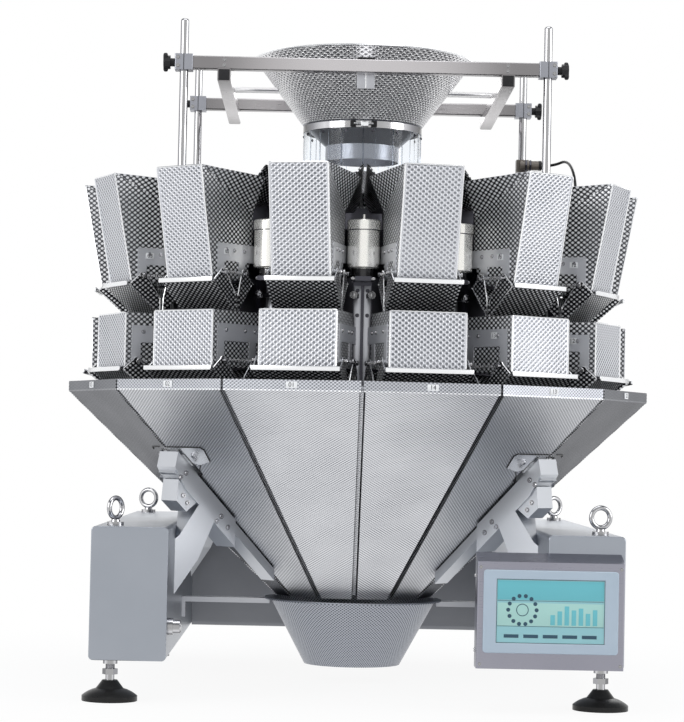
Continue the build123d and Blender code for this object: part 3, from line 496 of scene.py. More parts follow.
# %% Shaded metals
def edge_shaded(material, middle, rim):
    """Painted reflection: a polished bar mirrors the bright room from its flanks and the dark machine from its
    middle, and this paints that into its colour by how far the surface turns from the eye.
    """
    tree = material.node_tree
    band = add_node(tree, "ValToRGB")
    tree.links.new(facing_away(tree), band.inputs["Fac"])
    stops = band.color_ramp.elements
    stops[0].position, stops[0].color = 0.04, (middle, middle, middle, 1)
    stops[1].position, stops[1].color = 0.70, (rim, rim, rim, 1)
    stops.new(0.24).color = (0.88, 0.88, 0.90, 1)
    stops.new(0.46).color = (0.36, 0.36, 0.38, 1)
    tint(material, 1.0, band.outputs["Color"])


def dimmed_outward(material, near, far, low):
    """Painted shade: the colour falls to a share of itself with the distance from the machine's axis."""
    tree = material.node_tree
    x, y = place_parts(tree)[:2]
    tint(material, soft_step(tree, length_of(tree, x, y), near, far), (low, low, low))


# %% Plain metals
satin_plate = grained_metal("satin_plate", (0.40, 0.41, 0.44), (0.56, 0.57, 0.60), (0.30, 0.42), (60, 60, 900))
hanger_plate = grained_metal("hanger_plate", (0.60, 0.61, 0.64), (0.76, 0.77, 0.80), (0.30, 0.42),
                             (60, 60, 900), metallic=0.6)
base_plate = grained_metal("base_plate", (0.30, 0.325, 0.365), (0.41, 0.435, 0.48), (0.26, 0.36),
                           (30, 30, 1400))
# The rear box is painted darker than the side boxes: painted shade.
rear_plate_painted_shade = grained_metal("rear_plate_painted_shade", (0.14, 0.145, 0.16), (0.26, 0.27, 0.29), (0.30, 0.42), (30, 30, 1400))
panel_plate = grained_metal("panel_plate", (0.26, 0.26, 0.31), (0.36, 0.36, 0.41), (0.24, 0.34), (30, 30, 1400))
frame_tube = grained_metal("frame_tube", (0.52, 0.50, 0.51), (0.66, 0.64, 0.65), (0.24, 0.34), (60, 60, 600))
# painted shade: the frame tube darkens towards its ends
dimmed_outward(frame_tube, 0.28, 0.42, 0.42)
leg_plate = grained_metal("leg_plate", (0.50, 0.52, 0.55), (0.66, 0.68, 0.72), (0.30, 0.42), (90, 90, 300))
polished = grained_metal("polished_steel", (0.74, 0.74, 0.75), (0.86, 0.86, 0.87), (0.10, 0.18), (50, 50, 1200),
                         0.00001)
# painted reflection on the polished parts
edge_shaded(polished, 0.48, 0.10)
bright_edge = grained_metal("bright_edge", (0.84, 0.85, 0.87), (0.94, 0.95, 0.96), (0.18, 0.26),
                            (200, 200, 200), 0.00001)
# Near-black steel. On the drum housing, its top plate, the drive modules and the feeder vibrators it is painted
# shade of the machine's dark middle; the small arms, screws, grooves and nuts are dark steel of their own.
dark_steel_and_painted_shade = grained_metal("dark_steel_and_painted_shade", (0.05, 0.05, 0.06), (0.12, 0.12, 0.14), (0.32, 0.45), (100, 100, 400))
clamp_metal = grained_metal("clamp_aluminium", (0.24, 0.25, 0.28), (0.40, 0.41, 0.45), (0.32, 0.45),
                            (300, 300, 60))

# %% Plastics, rubber and enamel
black_rubber = mottled("black_rubber", (0.012, 0.012, 0.012), (0.025, 0.025, 0.025), (0.22, 0.38), 400)
black_plastic = mottled("black_plastic", (0.014, 0.014, 0.015), (0.03, 0.03, 0.032), (0.35, 0.5), 900)
for material in (black_rubber, black_plastic):
    principled(material, Specular_IOR_Level=0.2)
can_enamel = mottled("can_enamel", (0.95, 0.94, 0.89), (0.98, 0.97, 0.93), (0.24, 0.28), 60, 0.000003, 0.85)
tinted_by_height(can_enamel, 0.0, 0.7905, (0.05, 0.05, 0.055))    # the bare foot below the enamel
bezel_white = mottled("bezel_white", (0.42, 0.51, 0.60), (0.47, 0.56, 0.65), (0.35, 0.45), 900)
sensor_brown = mottled("sensor_brown", (0.11, 0.095, 0.08), (0.20, 0.175, 0.15), (0.25, 0.4), 900)
label_white = mottled("label_white", (0.86, 0.87, 0.88), (0.93, 0.94, 0.95), (0.4, 0.5), 900)
label_ink = mottled("label_ink", (0.02, 0.02, 0.03), (0.04, 0.04, 0.05), (0.4, 0.5), 900)
streak_plastic = new_material("streak_plastic", (0.42, 0.45, 0.50), 0.15)
principled(streak_plastic, Transmission_Weight=1.0, IOR=1.35)
clear_plastic = new_material("clear_plastic", (0.96, 0.98, 1.0), 0.04)
principled(clear_plastic, Transmission_Weight=1.0, IOR=1.2)

# %% Put the materials on the CAD nodes
finish = {
    feed_sheet: ["feed_hoppers"],
    weigh_sheet: ["weigh_hoppers"],
    door_sheet: ["rear_hopper_doors", "linear_pans", "top_cone"] + [n for n in nodes if "_door_" in n],
    chute_sheet: ["discharge_chutes"],
    infeed_sheet: ["infeed_funnel"],
    outlet_sheet: ["collecting_funnel"],
    satin_plate: ["funnel_support_bars"],
    hanger_plate: ["hopper_hangers"],
    base_plate: ["base_box_left", "base_box_right"],
    rear_plate_painted_shade: ["base_rear_box"],
    panel_plate: ["hmi_housing"],
    frame_tube: ["infeed_frame"],
    leg_plate: ["support_legs"],
    # painted shade: the machine's dark middle
    dark_steel_and_painted_shade: ["drum_housing", "drum_top_plate", "drive_modules", "feeder_vibrators"],
    polished: ["foot_stems", "eye_bolts", "support_rods", "neck_band", "base_connector"],
    clamp_metal: ["clamp_blocks"],
    black_rubber: ["foot_pads"],
    black_plastic: ["clamp_knobs", "sensor_cable"],
    can_enamel: ["vibrator_cans"],
    bezel_white: ["hmi_bezel", "hmi_screen"],
    sensor_brown: ["level_sensor"],
    clear_plastic: ["clear_tube"],
}
for material, names in finish.items():
    for name in names:
        nodes[name].data.materials.clear()
        nodes[name].data.materials.append(material)
print("dressed", sum(len(names) for names in finish.values()), "of", len(nodes), "nodes")

# %% [markdown]
# ## Mesh helpers
# Most small parts here are turned, bent or swept: screws and rollers are turned, rims and springs are
# wire. Three helpers make them straight in a bmesh, so that many copies share one object and every part
# keeps round edges that catch the light. Adding primitives by operator would be slower and would leave
# hundreds of objects. All of them are written in millimetres from the machine's own zero, and turned into
# metres when the piece is finished.


# %% Mesh helpers
mm = 0.001


def new_meshes(count):
    return [bmesh.new() for i in range(count)]


def moved(x, y, z):
    return Matrix.Translation((x, y, z))


def head_turn(number):
    return Matrix.Rotation(-(number - 0.5) * pitch_angle, 4, "Z")


def gap_turn(number):
    return Matrix.Rotation(number * pitch_angle, 4, "Z")


def facing(place, outward, up=Vector((0, 0, 1))):
    """A frame whose z points outward, whose y points up and whose origin is the place."""
    out = Vector(outward).normalized()
    right = Vector(up).cross(out).normalized()
    high = out.cross(right)
    return Matrix.Translation(place) @ Matrix((right, high, out)).transposed().to_4x4()


def ring(radius, z, count):
    return [(radius * sin(2 * pi * i / count), -radius * cos(2 * pi * i / count), z) for i in range(count)]


def join_rings(mesh, rings, closed=False):
    """Faces from each ring of points to the next, and a lid on each open end. A ring may be one point."""
    for low, high in list(zip(rings, rings[1:])) + ([(rings[-1], rings[0])] if closed else []):
        sides = max(len(low), len(high))
        for i in range(sides):
            j = (i + 1) % sides
            corners = (low[i % len(low)], low[j % len(low)], high[j % len(high)], high[i % len(high)])
            mesh.faces.new(list(dict.fromkeys(corners)))
    if not closed:
        for lid in (rings[0][::-1], rings[-1]):
            if len(lid) > 1:
                mesh.faces.new(lid)


def add_turned(mesh, profile, place, direction, sides, turn=Matrix()):
    """Turn a profile of (radius, height) round a direction. A radius of 0 makes a point."""
    up = Vector((0, 0, 1)) if abs(Vector(direction).normalized().z) < 0.9 else Vector((0, 1, 0))
    frame_at = turn @ facing(place, direction, up)
    rings = []
    for radius, height in profile:
        spots = [(radius * cos(2 * pi * i / sides), radius * sin(2 * pi * i / sides), height)
                 for i in range(sides if radius else 1)]
        rings.append([mesh.verts.new(frame_at @ Vector(spot)) for spot in spots])
    join_rings(mesh, rings)


def add_bar(mesh, size, frame_at, edge=0.8):
    """A block with rounded edges, centred on a place or a frame."""
    if not isinstance(frame_at, Matrix):
        frame_at = Matrix.Translation(frame_at)
    scale = Matrix.Diagonal((*size, 1))
    made = bmesh.ops.create_cube(mesh, size=1, matrix=frame_at @ scale)
    edges = list({e for v in made["verts"] for e in v.link_edges})
    bmesh.ops.bevel(mesh, geom=edges, offset=edge, segments=2, affect="EDGES", profile=0.5)


def add_sweep(mesh, points, radius, sides, closed=False, turn=Matrix()):
    """Sweep a round section along points."""
    points = [turn @ Vector(p) for p in points]
    count = len(points)
    rings = []
    normal = None
    for i, point in enumerate(points):
        before = points[i - 1] if (i or closed) else point
        after = points[(i + 1) % count] if (i < count - 1 or closed) else point
        along = (after - before).normalized()
        if normal is None:
            normal = along.orthogonal().normalized()
        normal = (normal - along * normal.dot(along)).normalized()
        side = along.cross(normal)
        spokes = [normal * cos(2 * pi * k / sides) + side * sin(2 * pi * k / sides) for k in range(sides)]
        rings.append([mesh.verts.new(point + spoke * radius) for spoke in spokes])
    join_rings(mesh, rings, closed)


def add_screw(mesh, place, direction, radius, height, turn=Matrix()):
    """A button-head screw with its socket."""
    add_turned(mesh, [(radius * 1.25, 0), (radius * 1.25, 0.6), (radius, 0.6), (radius, height * 0.5),
                      (radius * 0.8, height), (radius * 0.45, height), (radius * 0.4, height * 0.5),
                      (0, height * 0.5)], place, direction, 12, turn)


def finish_piece(name, mesh, material, body="machine", sharp=38):
    """Make one object of a mesh in millimetres. It rides on a body."""
    bmesh.ops.recalc_face_normals(mesh, faces=mesh.faces)
    data = bpy.data.meshes.new(name)
    mesh.to_mesh(data)
    mesh.free()
    data.transform(Matrix.Scale(mm, 4))
    data.materials.append(material)
    data.polygons.foreach_set("use_smooth", [True] * len(data.polygons))
    data.set_sharp_from_angle(angle=radians(sharp))
    piece = new_object(name, data)
    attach(piece, body)
    return piece


# %% Sizes taken from the frame
shown_heads = (1, 2, 3, 12, 13, 14)
all_heads = range(1, 15)
feed_half, weigh_half = 55, 72    # half the width of a hopper
wing_mid = 8                      # from the hopper's side to the middle of the door's wing


def joint_pivot(name):
    place = Vector(next(joint["pos_m"] for joint in frame["joints"] if joint["name"] == name)) / mm
    return place.xy.length, place.z


doors = {}
for kind, half, lip, tip, side in (("feed_outer_door", feed_half, (515.5, 762.5), (454.5, 708), 1),
                                   ("feed_inner_door", feed_half, (407.5, 761.5), (447.5, 708), -1),
                                   ("weigh_outer_door", weigh_half, (532.5, 600.5), (461.5, 545), 1),
                                   ("weigh_inner_door", weigh_half, (385.5, 600.5), (454.5, 545), -1)):
    pivot = joint_pivot(f"{kind}_01_hinge")
    doors[kind] = {"half": half, "lip": lip, "tip": tip, "side": side, "pivot": pivot}
    print(kind, "hangs at", [round(v, 1) for v in pivot])

# %% [markdown]
# ## Door rims
# Each hopper door is a folded sheet whose edges are rolled over, so that no raw edge can cut a hand. The
# rim shows as a thin bright line round each wing and as a thicker bar along the lip. A Solidify modifier
# would thicken the whole sheet, so the rims are swept along the door's own outline instead.


# %% Door rims
def rim_outline(door):
    (pr, pz), (lr, lz), (tr, tz), side = door["pivot"], door["lip"], door["tip"], door["side"]
    boss, corner_cut, arc_start, arc_steps = 8, 4, 0.3, 6
    corner = Vector((lr, lz))
    to_tip = (Vector((tr, tz)) - corner).normalized() * corner_cut
    to_pivot = (Vector((pr + side * boss * 0.9, pz + boss * 0.3)) - corner).normalized() * corner_cut
    outline = [corner + to_tip, corner + (to_tip + to_pivot) * 0.22, corner + to_pivot]
    for i in range(arc_steps + 1):
        at = arc_start + (pi - arc_start) * i / arc_steps
        outline.append(Vector((pr + side * boss * cos(at), pz + boss * sin(at))))
    outline += [Vector((tr, tz + (pz - tz) * 0.42)), Vector((tr, tz + 2))]
    return outline


def add_door_rims(mesh, door, turn):
    (lr, lz), side = door["lip"], door["side"]
    reach = door["half"] + wing_mid
    for hand in (-1, 1):
        add_sweep(mesh, [(hand * reach, -p[0], p[1]) for p in rim_outline(door)], 1.3, 6, True, turn)
    outer = side > 0
    depth, height = (5, 9) if outer else (3, 4)
    out = lr + side * (6.5 if outer else 1.5)
    bar_at = turn @ moved(0, -out, lz + (1 if outer else 0))
    add_bar(mesh, (2 * reach + 4, depth, height), bar_at, 1.4)


for number in shown_heads:
    for kind, door in doors.items():
        rims = bmesh.new()
        add_door_rims(rims, door, head_turn(number))
        finish_piece(f"{kind}_rims_{number:02d}", rims, bright_edge, f"{kind}_{number:02d}")
rims = bmesh.new()
for number in all_heads:
    if number not in shown_heads:
        for door in doors.values():
            add_door_rims(rims, door, head_turn(number))
rear_rims = finish_piece("rear_door_rims", rims, bright_edge)
print("rear rims:", len(rear_rims.data.polygons), "faces")

# %% [markdown]
# ## Hopper hems
# The hoppers' free edges are folded over as well. On the front wall the fold is a narrow bright strip on
# both sides and a thin line along the top, which frames the dimples like the border of a picture.

# %% Hopper hems
hems = bmesh.new()
feed_wall = [(509.6, 769.5), (547, 969.6)]
weigh_wall = [(525, 607), (525, 707.5)]
for number in all_heads:
    for half, wall in ((feed_half, feed_wall), (weigh_half, weigh_wall)):
        (low_r, low_z), (high_r, high_z) = wall
        edge = half - 0.6
        hem = [(-edge, -low_r, low_z), (-edge, -high_r, high_z - 3), (-edge + 1, -high_r, high_z - 1),
               (-edge + 3, -high_r, high_z), (edge - 3, -high_r, high_z),
               (edge - 1, -high_r, high_z - 1), (edge, -high_r, high_z - 3), (edge, -low_r, low_z)]
        add_sweep(hems, hem, 1.5, 6, False, head_turn(number))
finish_piece("hopper_hems", hems, bright_edge)

# %% [markdown]
# ## Hanger hardware
# The doors of a pair hang on pins and are pulled shut by coil springs, and a roller on a short arm pushes
# them open. Bright turned parts in a dark recess are what the eye finds first there, so they are modelled
# whole: pin caps, springs with all their turns, rollers and the screws in the hanger plates.

# %% Pins, springs and rollers
pin_profile = [(5, 0), (5, 1.4), (3.2, 1.4), (3.2, 4.4), (4.6, 4.4), (4.6, 6.6), (3.6, 7.4), (0, 7.4)]
roller_profile = [(4, -2), (4, 0), (7.5, 0.4), (8, 1.4), (8, 6), (7.2, 7), (3, 7), (3, 8.5), (0, 9)]
coil_turns, coil_steps = 11, 7
caps, coils, arms = new_meshes(3)


def spring_line(middle, inner, outer):
    """The wire of a spring between two pins: a straight end, the coil and another straight end."""
    (inner_r, inner_z), (outer_r, outer_z) = inner, outer
    count = coil_turns * coil_steps
    wire = [(middle, -outer_r, outer_z + 3.4), (middle, -outer_r + 7, outer_z + 3.4)]
    for i in range(count + 1):
        angle = 2 * pi * i / coil_steps
        along = 10 + (outer_r - inner_r - 20) * i / count
        wire.append((middle + 2.4 * sin(angle), -outer_r + along, outer_z + 2.4 * cos(angle)))
    return wire + [(middle, -inner_r - 7, inner_z + 3.4), (middle, -inner_r, inner_z + 3.4)]


for number in all_heads:
    turn = head_turn(number)
    for level, half, bar_mid in (("feed", feed_half, 816), ("weigh", weigh_half, 668)):
        outer, inner = doors[f"{level}_outer_door"]["pivot"], doors[f"{level}_inner_door"]["pivot"]
        for hand in (-1, 1):
            end = hand * (half + 9.2)
            for pr, pz in (outer, inner):
                add_turned(caps, pin_profile, (end, -pr, pz), (hand, 0, 0), 12, turn)
            add_sweep(coils, spring_line(end + hand * 2.9, inner, outer), 0.7, 5, False, turn)
            plate_face = hand * (half + 2)
            for screw_r in (inner[0] - 6, inner[0] + 22, outer[0] - 14):
                add_screw(caps, (plate_face, -screw_r, bar_mid + 4), (hand, 0, 0), 3.2, 2.4, turn)
    for hand in (-1, 1):
        for roller_z in (742, 590):
            add_bar(arms, (6, 30, 9), turn @ moved(hand * 75, -384, roller_z))
            add_turned(caps, roller_profile, (hand * 75, -398, roller_z), (0, -1, 0), 20, turn)
pin_caps = finish_piece("hanger_pins_and_rollers", caps, polished)
springs = finish_piece("door_springs", coils, polished, sharp=80)
finish_piece("roller_arms", arms, dark_steel_and_painted_shade)
print("pins", len(pin_caps.data.polygons), "springs", len(springs.data.polygons))

# %% [markdown]
# ## Number plates
# Each chute carries a small white plate with its head's number, so that an operator can find the head
# that the panel names. The digits are Blender's own font, turned into a mesh and laid on the plate.


# %% Number plates
def add_number(ink, plate, number, turn, place, outward, size=(21, 11.5)):
    lie = turn @ facing(place, outward)
    add_bar(plate, (*size, 1), lie @ moved(0, 0, 0.3), 0.3)
    text = bpy.data.curves.new("digits", "FONT")
    text.body = f"{number:02d}"
    text.size = size[1]
    text.align_x, text.align_y = "CENTER", "CENTER"
    text.extrude = 0.15
    letters = new_object("digits", text)
    shape = bpy.data.meshes.new_from_object(letters)
    shape.transform(lie @ moved(0, 0, 0.9))
    ink.from_mesh(shape)
    bpy.data.objects.remove(letters)
    bpy.data.meshes.remove(shape)


plates, digits = new_meshes(2)
for number in all_heads:
    if number not in (4, 11):    # these two would stand out of the machine's own box
        add_number(digits, plates, number, head_turn(number), (0, -563.4, 571), (0, -1, 0))
feed_spot, weigh_spot = (feed_half + 2.2, -474, 817), (weigh_half + 2.2, -480, 672)
for number, side, spots in ((12, -1, (feed_spot, weigh_spot)), (13, -1, (feed_spot, weigh_spot)),
                            (2, 1, (feed_spot,)), (3, 1, (feed_spot,))):
    for across, out, z in spots:
        add_number(digits, plates, number, head_turn(number), (side * across, out, z), (side, 0, 0), (16, 11))
finish_piece("number_plates", plates, label_white)
finish_piece("number_digits", digits, label_ink, sharp=30)

# %% [markdown]
# ## Drum posts
# Between the heads stand the drum's corner posts: two light strips with a dark joint, screwed on. They are
# the only bright uprights in the dark middle of the machine.

# %% Drum posts
strips, post_screws = new_meshes(2)
for number in all_heads:
    turn = gap_turn(number)
    for hand in (-1, 1):
        add_bar(strips, (13, 2, 206), turn @ moved(hand * 9.2, -378, 658), 0.5)
        for z in (575, 706, 752):
            add_screw(post_screws, (hand * 9.2, -379, z), (0, -1, 0), 3, 2.2, turn)
finish_piece("drum_post_strips", strips, satin_plate)
finish_piece("drum_post_screws", post_screws, dark_steel_and_painted_shade)

# %% [markdown]
# ## Legs and cut-outs
# The four legs are folded plate bolted together, and each carries a small bracket that holds the chutes
# through a cut-out in the sheet. The bolts stand in pairs where plates overlap.

# %% Leg bolts and brackets
leg_bolt_places = ((436, 408), (448, 400), (352, 327), (362, 318), (336, 306), (428, 352), (438, 366))
leg_bolts, leg_brackets = new_meshes(2)
slope = radians(43.7)    # of the chutes
for quarter in (-2, 2, 5, 9):
    turn = gap_turn(quarter)
    for hand in (-1, 1):
        for bolt_r, bolt_z in leg_bolt_places:
            face = 25.2 if bolt_z in (352, 366) and bolt_r > 400 else 30.2
            add_screw(leg_bolts, (hand * face, -bolt_r, bolt_z), (hand, 0, 0), 4.2, 3.2, turn)
    for hand in (-1, 1):
        lie = turn @ moved(hand * 21, -432, 436) @ Matrix.Rotation(-slope, 4, "X")
        add_bar(leg_brackets, (17, 40, 2.4), lie, 0.8)
        for shift in (-11, 11):
            spot = lie @ Vector((0, shift, 1.2))
            add_screw(leg_bolts, spot, lie.to_3x3() @ Vector((0, 0, 1)), 3.6, 3)
finish_piece("leg_bolts", leg_bolts, polished)
finish_piece("leg_brackets", leg_brackets, bright_edge)

# %% [markdown]
# ## Pocket plates
# Where a leg reaches up between two chutes, the sheet is cut away and a smooth plate closes the upper
# edge of the cut. A black line swept along the cut's edges is painted shadow in the gap there. The places
# below are measured on the chute itself: across from the middle of the sheet, and down its slope.

# %% Pocket plates and outlines
chute_radius, chute_top, sheet_off = 575 * cos(pi / 14), 562, 2.5
off_slope = Vector((0, -sin(slope), -cos(slope)))


def on_chute(across, run, off):
    """A point on a chute's outer face in the front frame, off it by a small distance."""
    down = Vector((across, -chute_radius, chute_top)) + Vector((0, cos(slope), -sin(slope))) * run
    return down + off_slope * (sheet_off + off)


pocket = [(-66, 150), (-14, 150), (-9, 156), (-13, 187), (-43, 197), (-58, 192)]
outline = [[(-96, 150), (-14, 150), (-9, 156), (-13, 187)], [(-43, 197), (-53, 211), (-79, 266)]]
pocket_plates, pocket_shadow_lines, pocket_bolts = new_meshes(3)
for number, hand in ((2, 1), (13, -1), (6, -1), (9, 1)):
    turn = head_turn(number)
    faces = []
    for off in (1.0, 0.05):
        spots = [turn @ on_chute(hand * x, run, off) for x, run in pocket]
        faces.append([pocket_plates.verts.new(spot) for spot in spots])
    join_rings(pocket_plates, faces)
    for path in outline:
        add_sweep(pocket_shadow_lines, [on_chute(hand * x, run, 0.7) for x, run in path], 1.0, 6, False, turn)
    add_screw(pocket_bolts, on_chute(hand * -42, 170, 1.0), off_slope, 5, 5, turn)
for number, hand in ((3, -1), (12, 1), (5, 1), (10, -1)):
    turn = head_turn(number)
    add_screw(pocket_bolts, on_chute(hand * -60, 168, 0), off_slope, 5, 6, turn)
    short_line = [on_chute(hand * x, run, 0.7) for x, run in ((-78, 150), (-44, 150), (-40, 156))]
    add_sweep(pocket_shadow_lines, short_line, 0.9, 6, False, turn)
finish_piece("pocket_plates", pocket_plates, bright_edge)
# painted shadow along the cut's edges
finish_piece("pocket_painted_shadow_lines", pocket_shadow_lines, black_rubber)
finish_piece("pocket_bolts", pocket_bolts, satin_plate)

# %% [markdown]
# ## Infeed stand
# The funnel hangs in a frame of square tube that slides on four rods. Clamp blocks with hand knobs hold it
# at its height. The wings on the knobs, the plugs in the tube ends and the screws on the clear tube are
# too small for the CAD model, but they give the stand its scale.

# %% Clamps, knobs and plugs
rod_x, rod_y = 344.8, 275.0
tube_z, side_bar_x = 1184, 268
clamp_bolts, wings, plugs = new_meshes(3)
four_corners = ((-1, -1), (-1, 1), (1, -1), (1, 1))
for side, depth in four_corners:
    x, y = side * rod_x, depth * rod_y
    for z in (tube_z - 8, tube_z + 8):
        add_screw(clamp_bolts, (x + side * 11, y - 17, z), (0, -1, 0), 3.4, 2.6)
    add_bar(plugs, (1.4, 0.8, 30.4), (x, y - 17, tube_z), 0.2)
    wing_turn = Matrix.Rotation(radians(side * depth * 28), 4, "X")
    add_bar(wings, (9, 12, 36), moved(x + side * 35, y, tube_z) @ wing_turn, 3.5)
    add_bar(plugs, (20.6, 2.4, 20.6), (side * side_bar_x, depth * (rod_y + 25), tube_z - 25))
    for z in (tube_z - 5, tube_z + 5):
        add_screw(clamp_bolts, (side * side_bar_x, depth * (rod_y + 12.5), z), (0, depth, 0), 3, 2.4)
for name, mesh, material in (("clamp_screws", clamp_bolts, polished), ("knob_wings", wings, black_plastic),
                             ("tube_plugs", plugs, black_plastic)):
    finish_piece(name, mesh, material, "infeed_stand")

# %% Funnel rim, band and clear tube
funnel_top, neck_z = 1237, 1103
rim = bmesh.new()
add_sweep(rim, ring(217.2, funnel_top - 1.2, 72), 2.2, 8, True)
for side in (-1, 1):
    for shift in (-10, 10):
        add_screw(rim, (shift, side * (rod_y - 14.5), tube_z - 2), (0, -side, 0), 3, 2.4)
        add_screw(rim, (side * (side_bar_x - 2), shift * 0.6, tube_z - 4.5), (0, 0, 1), 3, 2.4)
finish_piece("funnel_rim_and_bolts", rim, bright_edge, "infeed_stand")
buckle, buckle_bolt, snaps, strips = new_meshes(4)
band_z = neck_z - 6.5
for turn_by in (-0.17, 0.17):
    lie = Matrix.Rotation(turn_by, 4, "Z") @ moved(0, -121.2, band_z)
    add_bar(buckle, (11, 7, 12), lie, 1.2)
add_sweep(buckle_bolt, [(-19, -124, band_z), (19, -124, band_z)], 1.9, 8)
add_bar(buckle_bolt, (15, 5, 11), (2, -124, band_z), 1)
clip, clip_line = new_meshes(2)
for side in (-1, 1):
    back = side * (rod_y - 13.2)
    for hand in (-1, 1):
        add_bar(clip, (15.5, 2, 52), (hand * 9, back, tube_z - 14), 0.4)
    add_bar(clip_line, (2.2, 1.2, 50), (0, back, tube_z - 14), 0.3)
    add_bar(buckle, (34, 3, 4), (0, side * rod_y, tube_z + 16))
finish_piece("funnel_clip_plates", clip, satin_plate, "infeed_stand")
finish_piece("funnel_clip_seam", clip_line, bright_edge, "infeed_stand")
for i in range(14):
    turn = Matrix.Rotation(2 * pi * (i + 0.35) / 14, 4, "Z")
    add_screw(snaps, (0, -117.4, neck_z - 19), (0, -1, 0), 2.6, 2.2, turn)
for i in range(22):
    turn = Matrix.Rotation(2 * pi * (i + 0.3 * sin(5 * i)) / 22, 4, "Z")
    add_bar(strips, (1.6 + 0.9 * cos(3 * i), 1.2, 76), turn @ moved(0, -118.0, 1055), 0.3)
for name, mesh, material in (("band_buckle", buckle, black_plastic), ("band_bolt", buckle_bolt, bright_edge),
                             ("tube_snaps", snaps, dark_steel_and_painted_shade), ("clear_tube_laps", strips, streak_plastic)):
    finish_piece(name, mesh, material, "infeed_stand")

# %% [markdown]
# ## Vibrator cans and drum top
# The cream cans stand on the drum's tongues, each held by a cross pin with bright ends. A groove parts the
# lid from the can, and it reads as a fine dark line.

# %% Can grooves and cross pins
cross_pin_profile = [(2.6, -16), (2.6, 2), (4.4, 2), (4.4, 5), (3.0, 5.5), (3.0, 7), (0, 7)]
grooves, cross_pins = new_meshes(2)
for number in all_heads:
    turn = gap_turn(number)
    add_sweep(grooves, [(x, y - 398, z) for x, y, z in ring(30.1, 861.2, 28)], 0.9, 6, True, turn)
    for hand in (-1, 1):
        add_turned(cross_pins, cross_pin_profile, (hand * 15, -409, 772), (hand, 0, 0), 12, turn)
finish_piece("can_grooves", grooves, dark_steel_and_painted_shade)
finish_piece("can_cross_pins", cross_pins, polished)

# %% [markdown]
# ## Base hardware
# Threads on the levelling feet are modelled as a stack of fine ridges. A real thread is a helix, but at
# this size nobody can tell the two apart, and rings close cleanly.

# %% Foot threads
threads = bmesh.new()
foot_x, foot_y = 441, 470
thread_low, thread_high, thread_pitch = 57.1, 66, 1.5
ridge = [(0, 57)]
for i in range(6):
    ridge_z = thread_low + i * thread_pitch
    ridge += [(7.9, ridge_z), (8.6, ridge_z + thread_pitch / 2)]
ridge += [(7.9, thread_high), (0, thread_high)]
for side, depth in four_corners:
    add_turned(threads, ridge, (side * foot_x, depth * foot_y, 0), (0, 0, 1), 20)
finish_piece("foot_threads", threads, polished)

# %% [markdown]
# ## Control panel
# The panel is a folded steel box with a pale plastic bezel round the glass. What its screen shows is drawn
# here as a plain dial with one lamp for each head, and a few bars, which any weigher's panel could show.


# %% Screen materials
def lit(name, colour, glow):
    material = mottled(name, tuple(c * 0.94 for c in colour), colour, (0.12, 0.2), 60, 0.000002)
    principled(material, Emission_Color=(*colour, 1), Emission_Strength=glow)
    return material


screen_back = lit("screen_back", (0.27, 0.52, 0.56), 0.12)
screen_blue = lit("screen_blue", (0.13, 0.46, 0.52), 0.12)
screen_pale = lit("screen_pale", (0.36, 0.60, 0.56), 0.12)
screen_ink = lit("screen_ink", (0.02, 0.07, 0.11), 0.05)
nodes["hmi_screen"].data.materials.clear()
nodes["hmi_screen"].data.materials.append(screen_back)

# %% Screen picture
screen_low, screen_high = (Vector(v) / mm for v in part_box("hmi_screen"))
screen_y = screen_low.y - 0.15
screen_width, screen_height = screen_high.x - screen_low.x, screen_high.z - screen_low.z


def on_screen(u, v):
    """A point of the glass, from 0 to 1 across and up."""
    return Vector((screen_low.x + u * screen_width, screen_y, screen_low.z + v * screen_height))


blue, pale, ink = new_meshes(3)
flat = 0.3
field_width, field_edge = screen_width * 0.98, 0.1
add_bar(blue, (field_width, flat, screen_height * 0.30), on_screen(0.5, 0.83), field_edge)
add_bar(pale, (field_width, flat, screen_height * 0.36), on_screen(0.5, 0.45), field_edge)
dial = on_screen(0.24, 0.52)
for i in range(14):
    angle = 2 * pi * (i + 0.5) / 14
    spot = dial + Vector((sin(angle), 0, cos(angle))) * 25
    add_turned(ink, [(3.6, 0), (3.6, 0.35), (0, 0.35)], spot, (0, -1, 0), 12)
add_turned(ink, [(11, 0), (11, 0.35), (9.6, 0.35), (9.6, 0)], dial, (0, -1, 0), 28)
for i, level in enumerate((0.16, 0.22, 0.30, 0.24, 0.27, 0.19, 0.25)):
    height = level * screen_height
    foot = on_screen(0.52 + i * 0.065, 0.29)
    add_bar(blue, (8, 0.5, height), foot + Vector((0, -0.1, height / 2)), field_edge)
for i in range(5):
    add_bar(ink, (26, flat, 6), on_screen(0.14 + i * 0.18, 0.11), field_edge)
for v in (0.665, 0.265):
    add_bar(ink, (field_width, flat, 0.8), on_screen(0.5, v), field_edge)
finish_piece("screen_upper_and_bars", blue, screen_blue)
finish_piece("screen_middle", pale, screen_pale)
finish_piece("screen_marks", ink, screen_ink)

# %% Panel frame and screws
panel_low, panel_high = (Vector(v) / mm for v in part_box("hmi_housing"))
gasket, panel_screws = new_meshes(2)
screen_mid, gasket_y = (screen_low + screen_high) / 2, screen_low.y - 0.2
for z in (screen_low.z, screen_high.z):
    add_bar(gasket, (screen_width + 2, 1.2, 1.6), (screen_mid.x, gasket_y, z), 0.4)
for x in (screen_low.x, screen_high.x):
    add_bar(gasket, (1.6, 1.2, screen_height + 2), (x, gasket_y, screen_mid.z), 0.4)
for x in (panel_low.x + 6, panel_high.x - 6):
    for z in (panel_low.z + 8, panel_high.z - 24):
        add_screw(panel_screws, (x, panel_low.y, z), (0, -1, 0), 2.6, 2)
for z in (panel_low.z + 30, panel_high.z - 40):
    for x, way in ((panel_low.x, -1), (panel_high.x, 1)):
        add_screw(panel_screws, (x, panel_high.y - 22, z), (way, 0, 0), 3.4, 2.6)
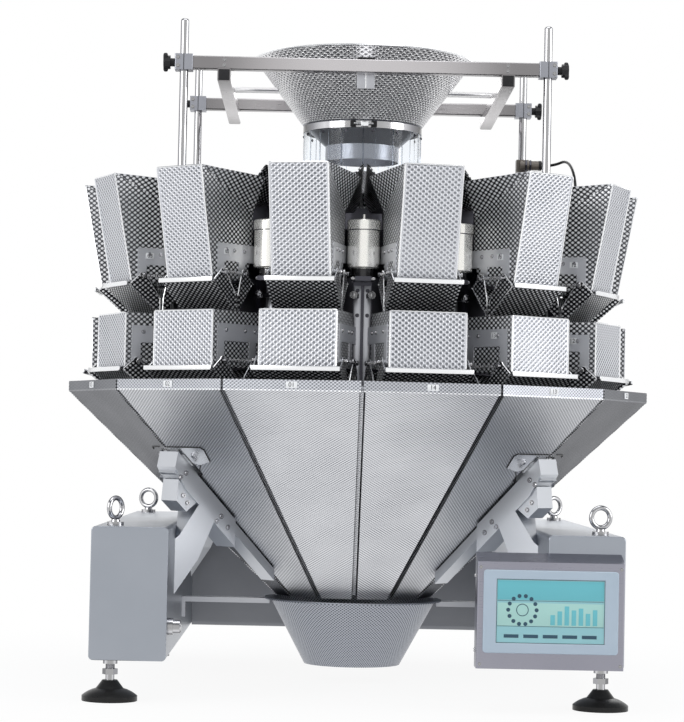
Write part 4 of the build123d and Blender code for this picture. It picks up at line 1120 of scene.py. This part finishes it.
finish_piece("screen_gasket", gasket, black_rubber)
finish_piece("panel_screws", panel_screws, polished)

# %% [markdown]
# ## Level sensor and its cable
# A sensor on the rear right rod looks down at the product on the cone. Its cable leaves sideways, falls
# between two heads and goes into the drum. The cable is one smooth NURBS curve through the air, held by
# its ends, and the points along it are read from the curve itself.

# %% Sensor fittings and cable
sensor_end = (382.8, 254, 1066)
gland_profile = [(10.4, -5), (10.4, 1), (8, 2), (8, 6), (6.4, 8), (4.2, 15), (3.2, 16), (3.2, 10)]
nut_profile = [(11.5, 0), (12.5, 0.8), (12.5, 3.6), (11.5, 4.4), (9.5, 4.4), (9.5, 0)]
gland, nuts = new_meshes(2)
add_turned(gland, gland_profile, sensor_end, (1, 0, 0), 18)
for x in (349, 358):
    add_turned(nuts, nut_profile, (x, *sensor_end[1:]), (1, 0, 0), 6)
finish_piece("sensor_gland", gland, black_plastic)
finish_piece("sensor_nuts", nuts, dark_steel_and_painted_shade)

# %% Sensor cable
cable_route = [
    (0.3828, 0.2540, 1.0660), (0.4088, 0.2540, 1.0660), (0.4368, 0.2100, 1.0760), (0.4426, 0.1010, 1.0180),
    (0.4387, 0.1001, 0.9380), (0.4368, 0.0997, 0.8540), (0.4387, 0.1001, 0.7740), (0.4095, 0.0935, 0.7380),
    (0.3676, 0.0839, 0.7380),
]
cable_data = bpy.data.curves.new("sensor_cable_run", "CURVE")
cable_data.dimensions = "3D"
spline = cable_data.splines.new("NURBS")
spline.points.add(len(cable_route) - 1)
for point, place in zip(spline.points, cable_route):
    point.co = (*place, 1)
spline.order_u = 3
spline.use_endpoint_u = True
spline.resolution_u = 12
cable = new_object("sensor_cable_run", cable_data)
centre_line = bpy.data.meshes.new_from_object(cable)
along = [v.co.copy() for v in centre_line.vertices]
bpy.data.meshes.remove(centre_line)
cable_data.bevel_depth = 3 * mm
cable_data.bevel_resolution = 3
cable_data.use_fill_caps = True
cable_data.materials.append(black_rubber)
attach(cable, "machine")
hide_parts("sensor_cable")

# %% Finish
bpy.context.scene.view_settings.view_transform = "Standard"
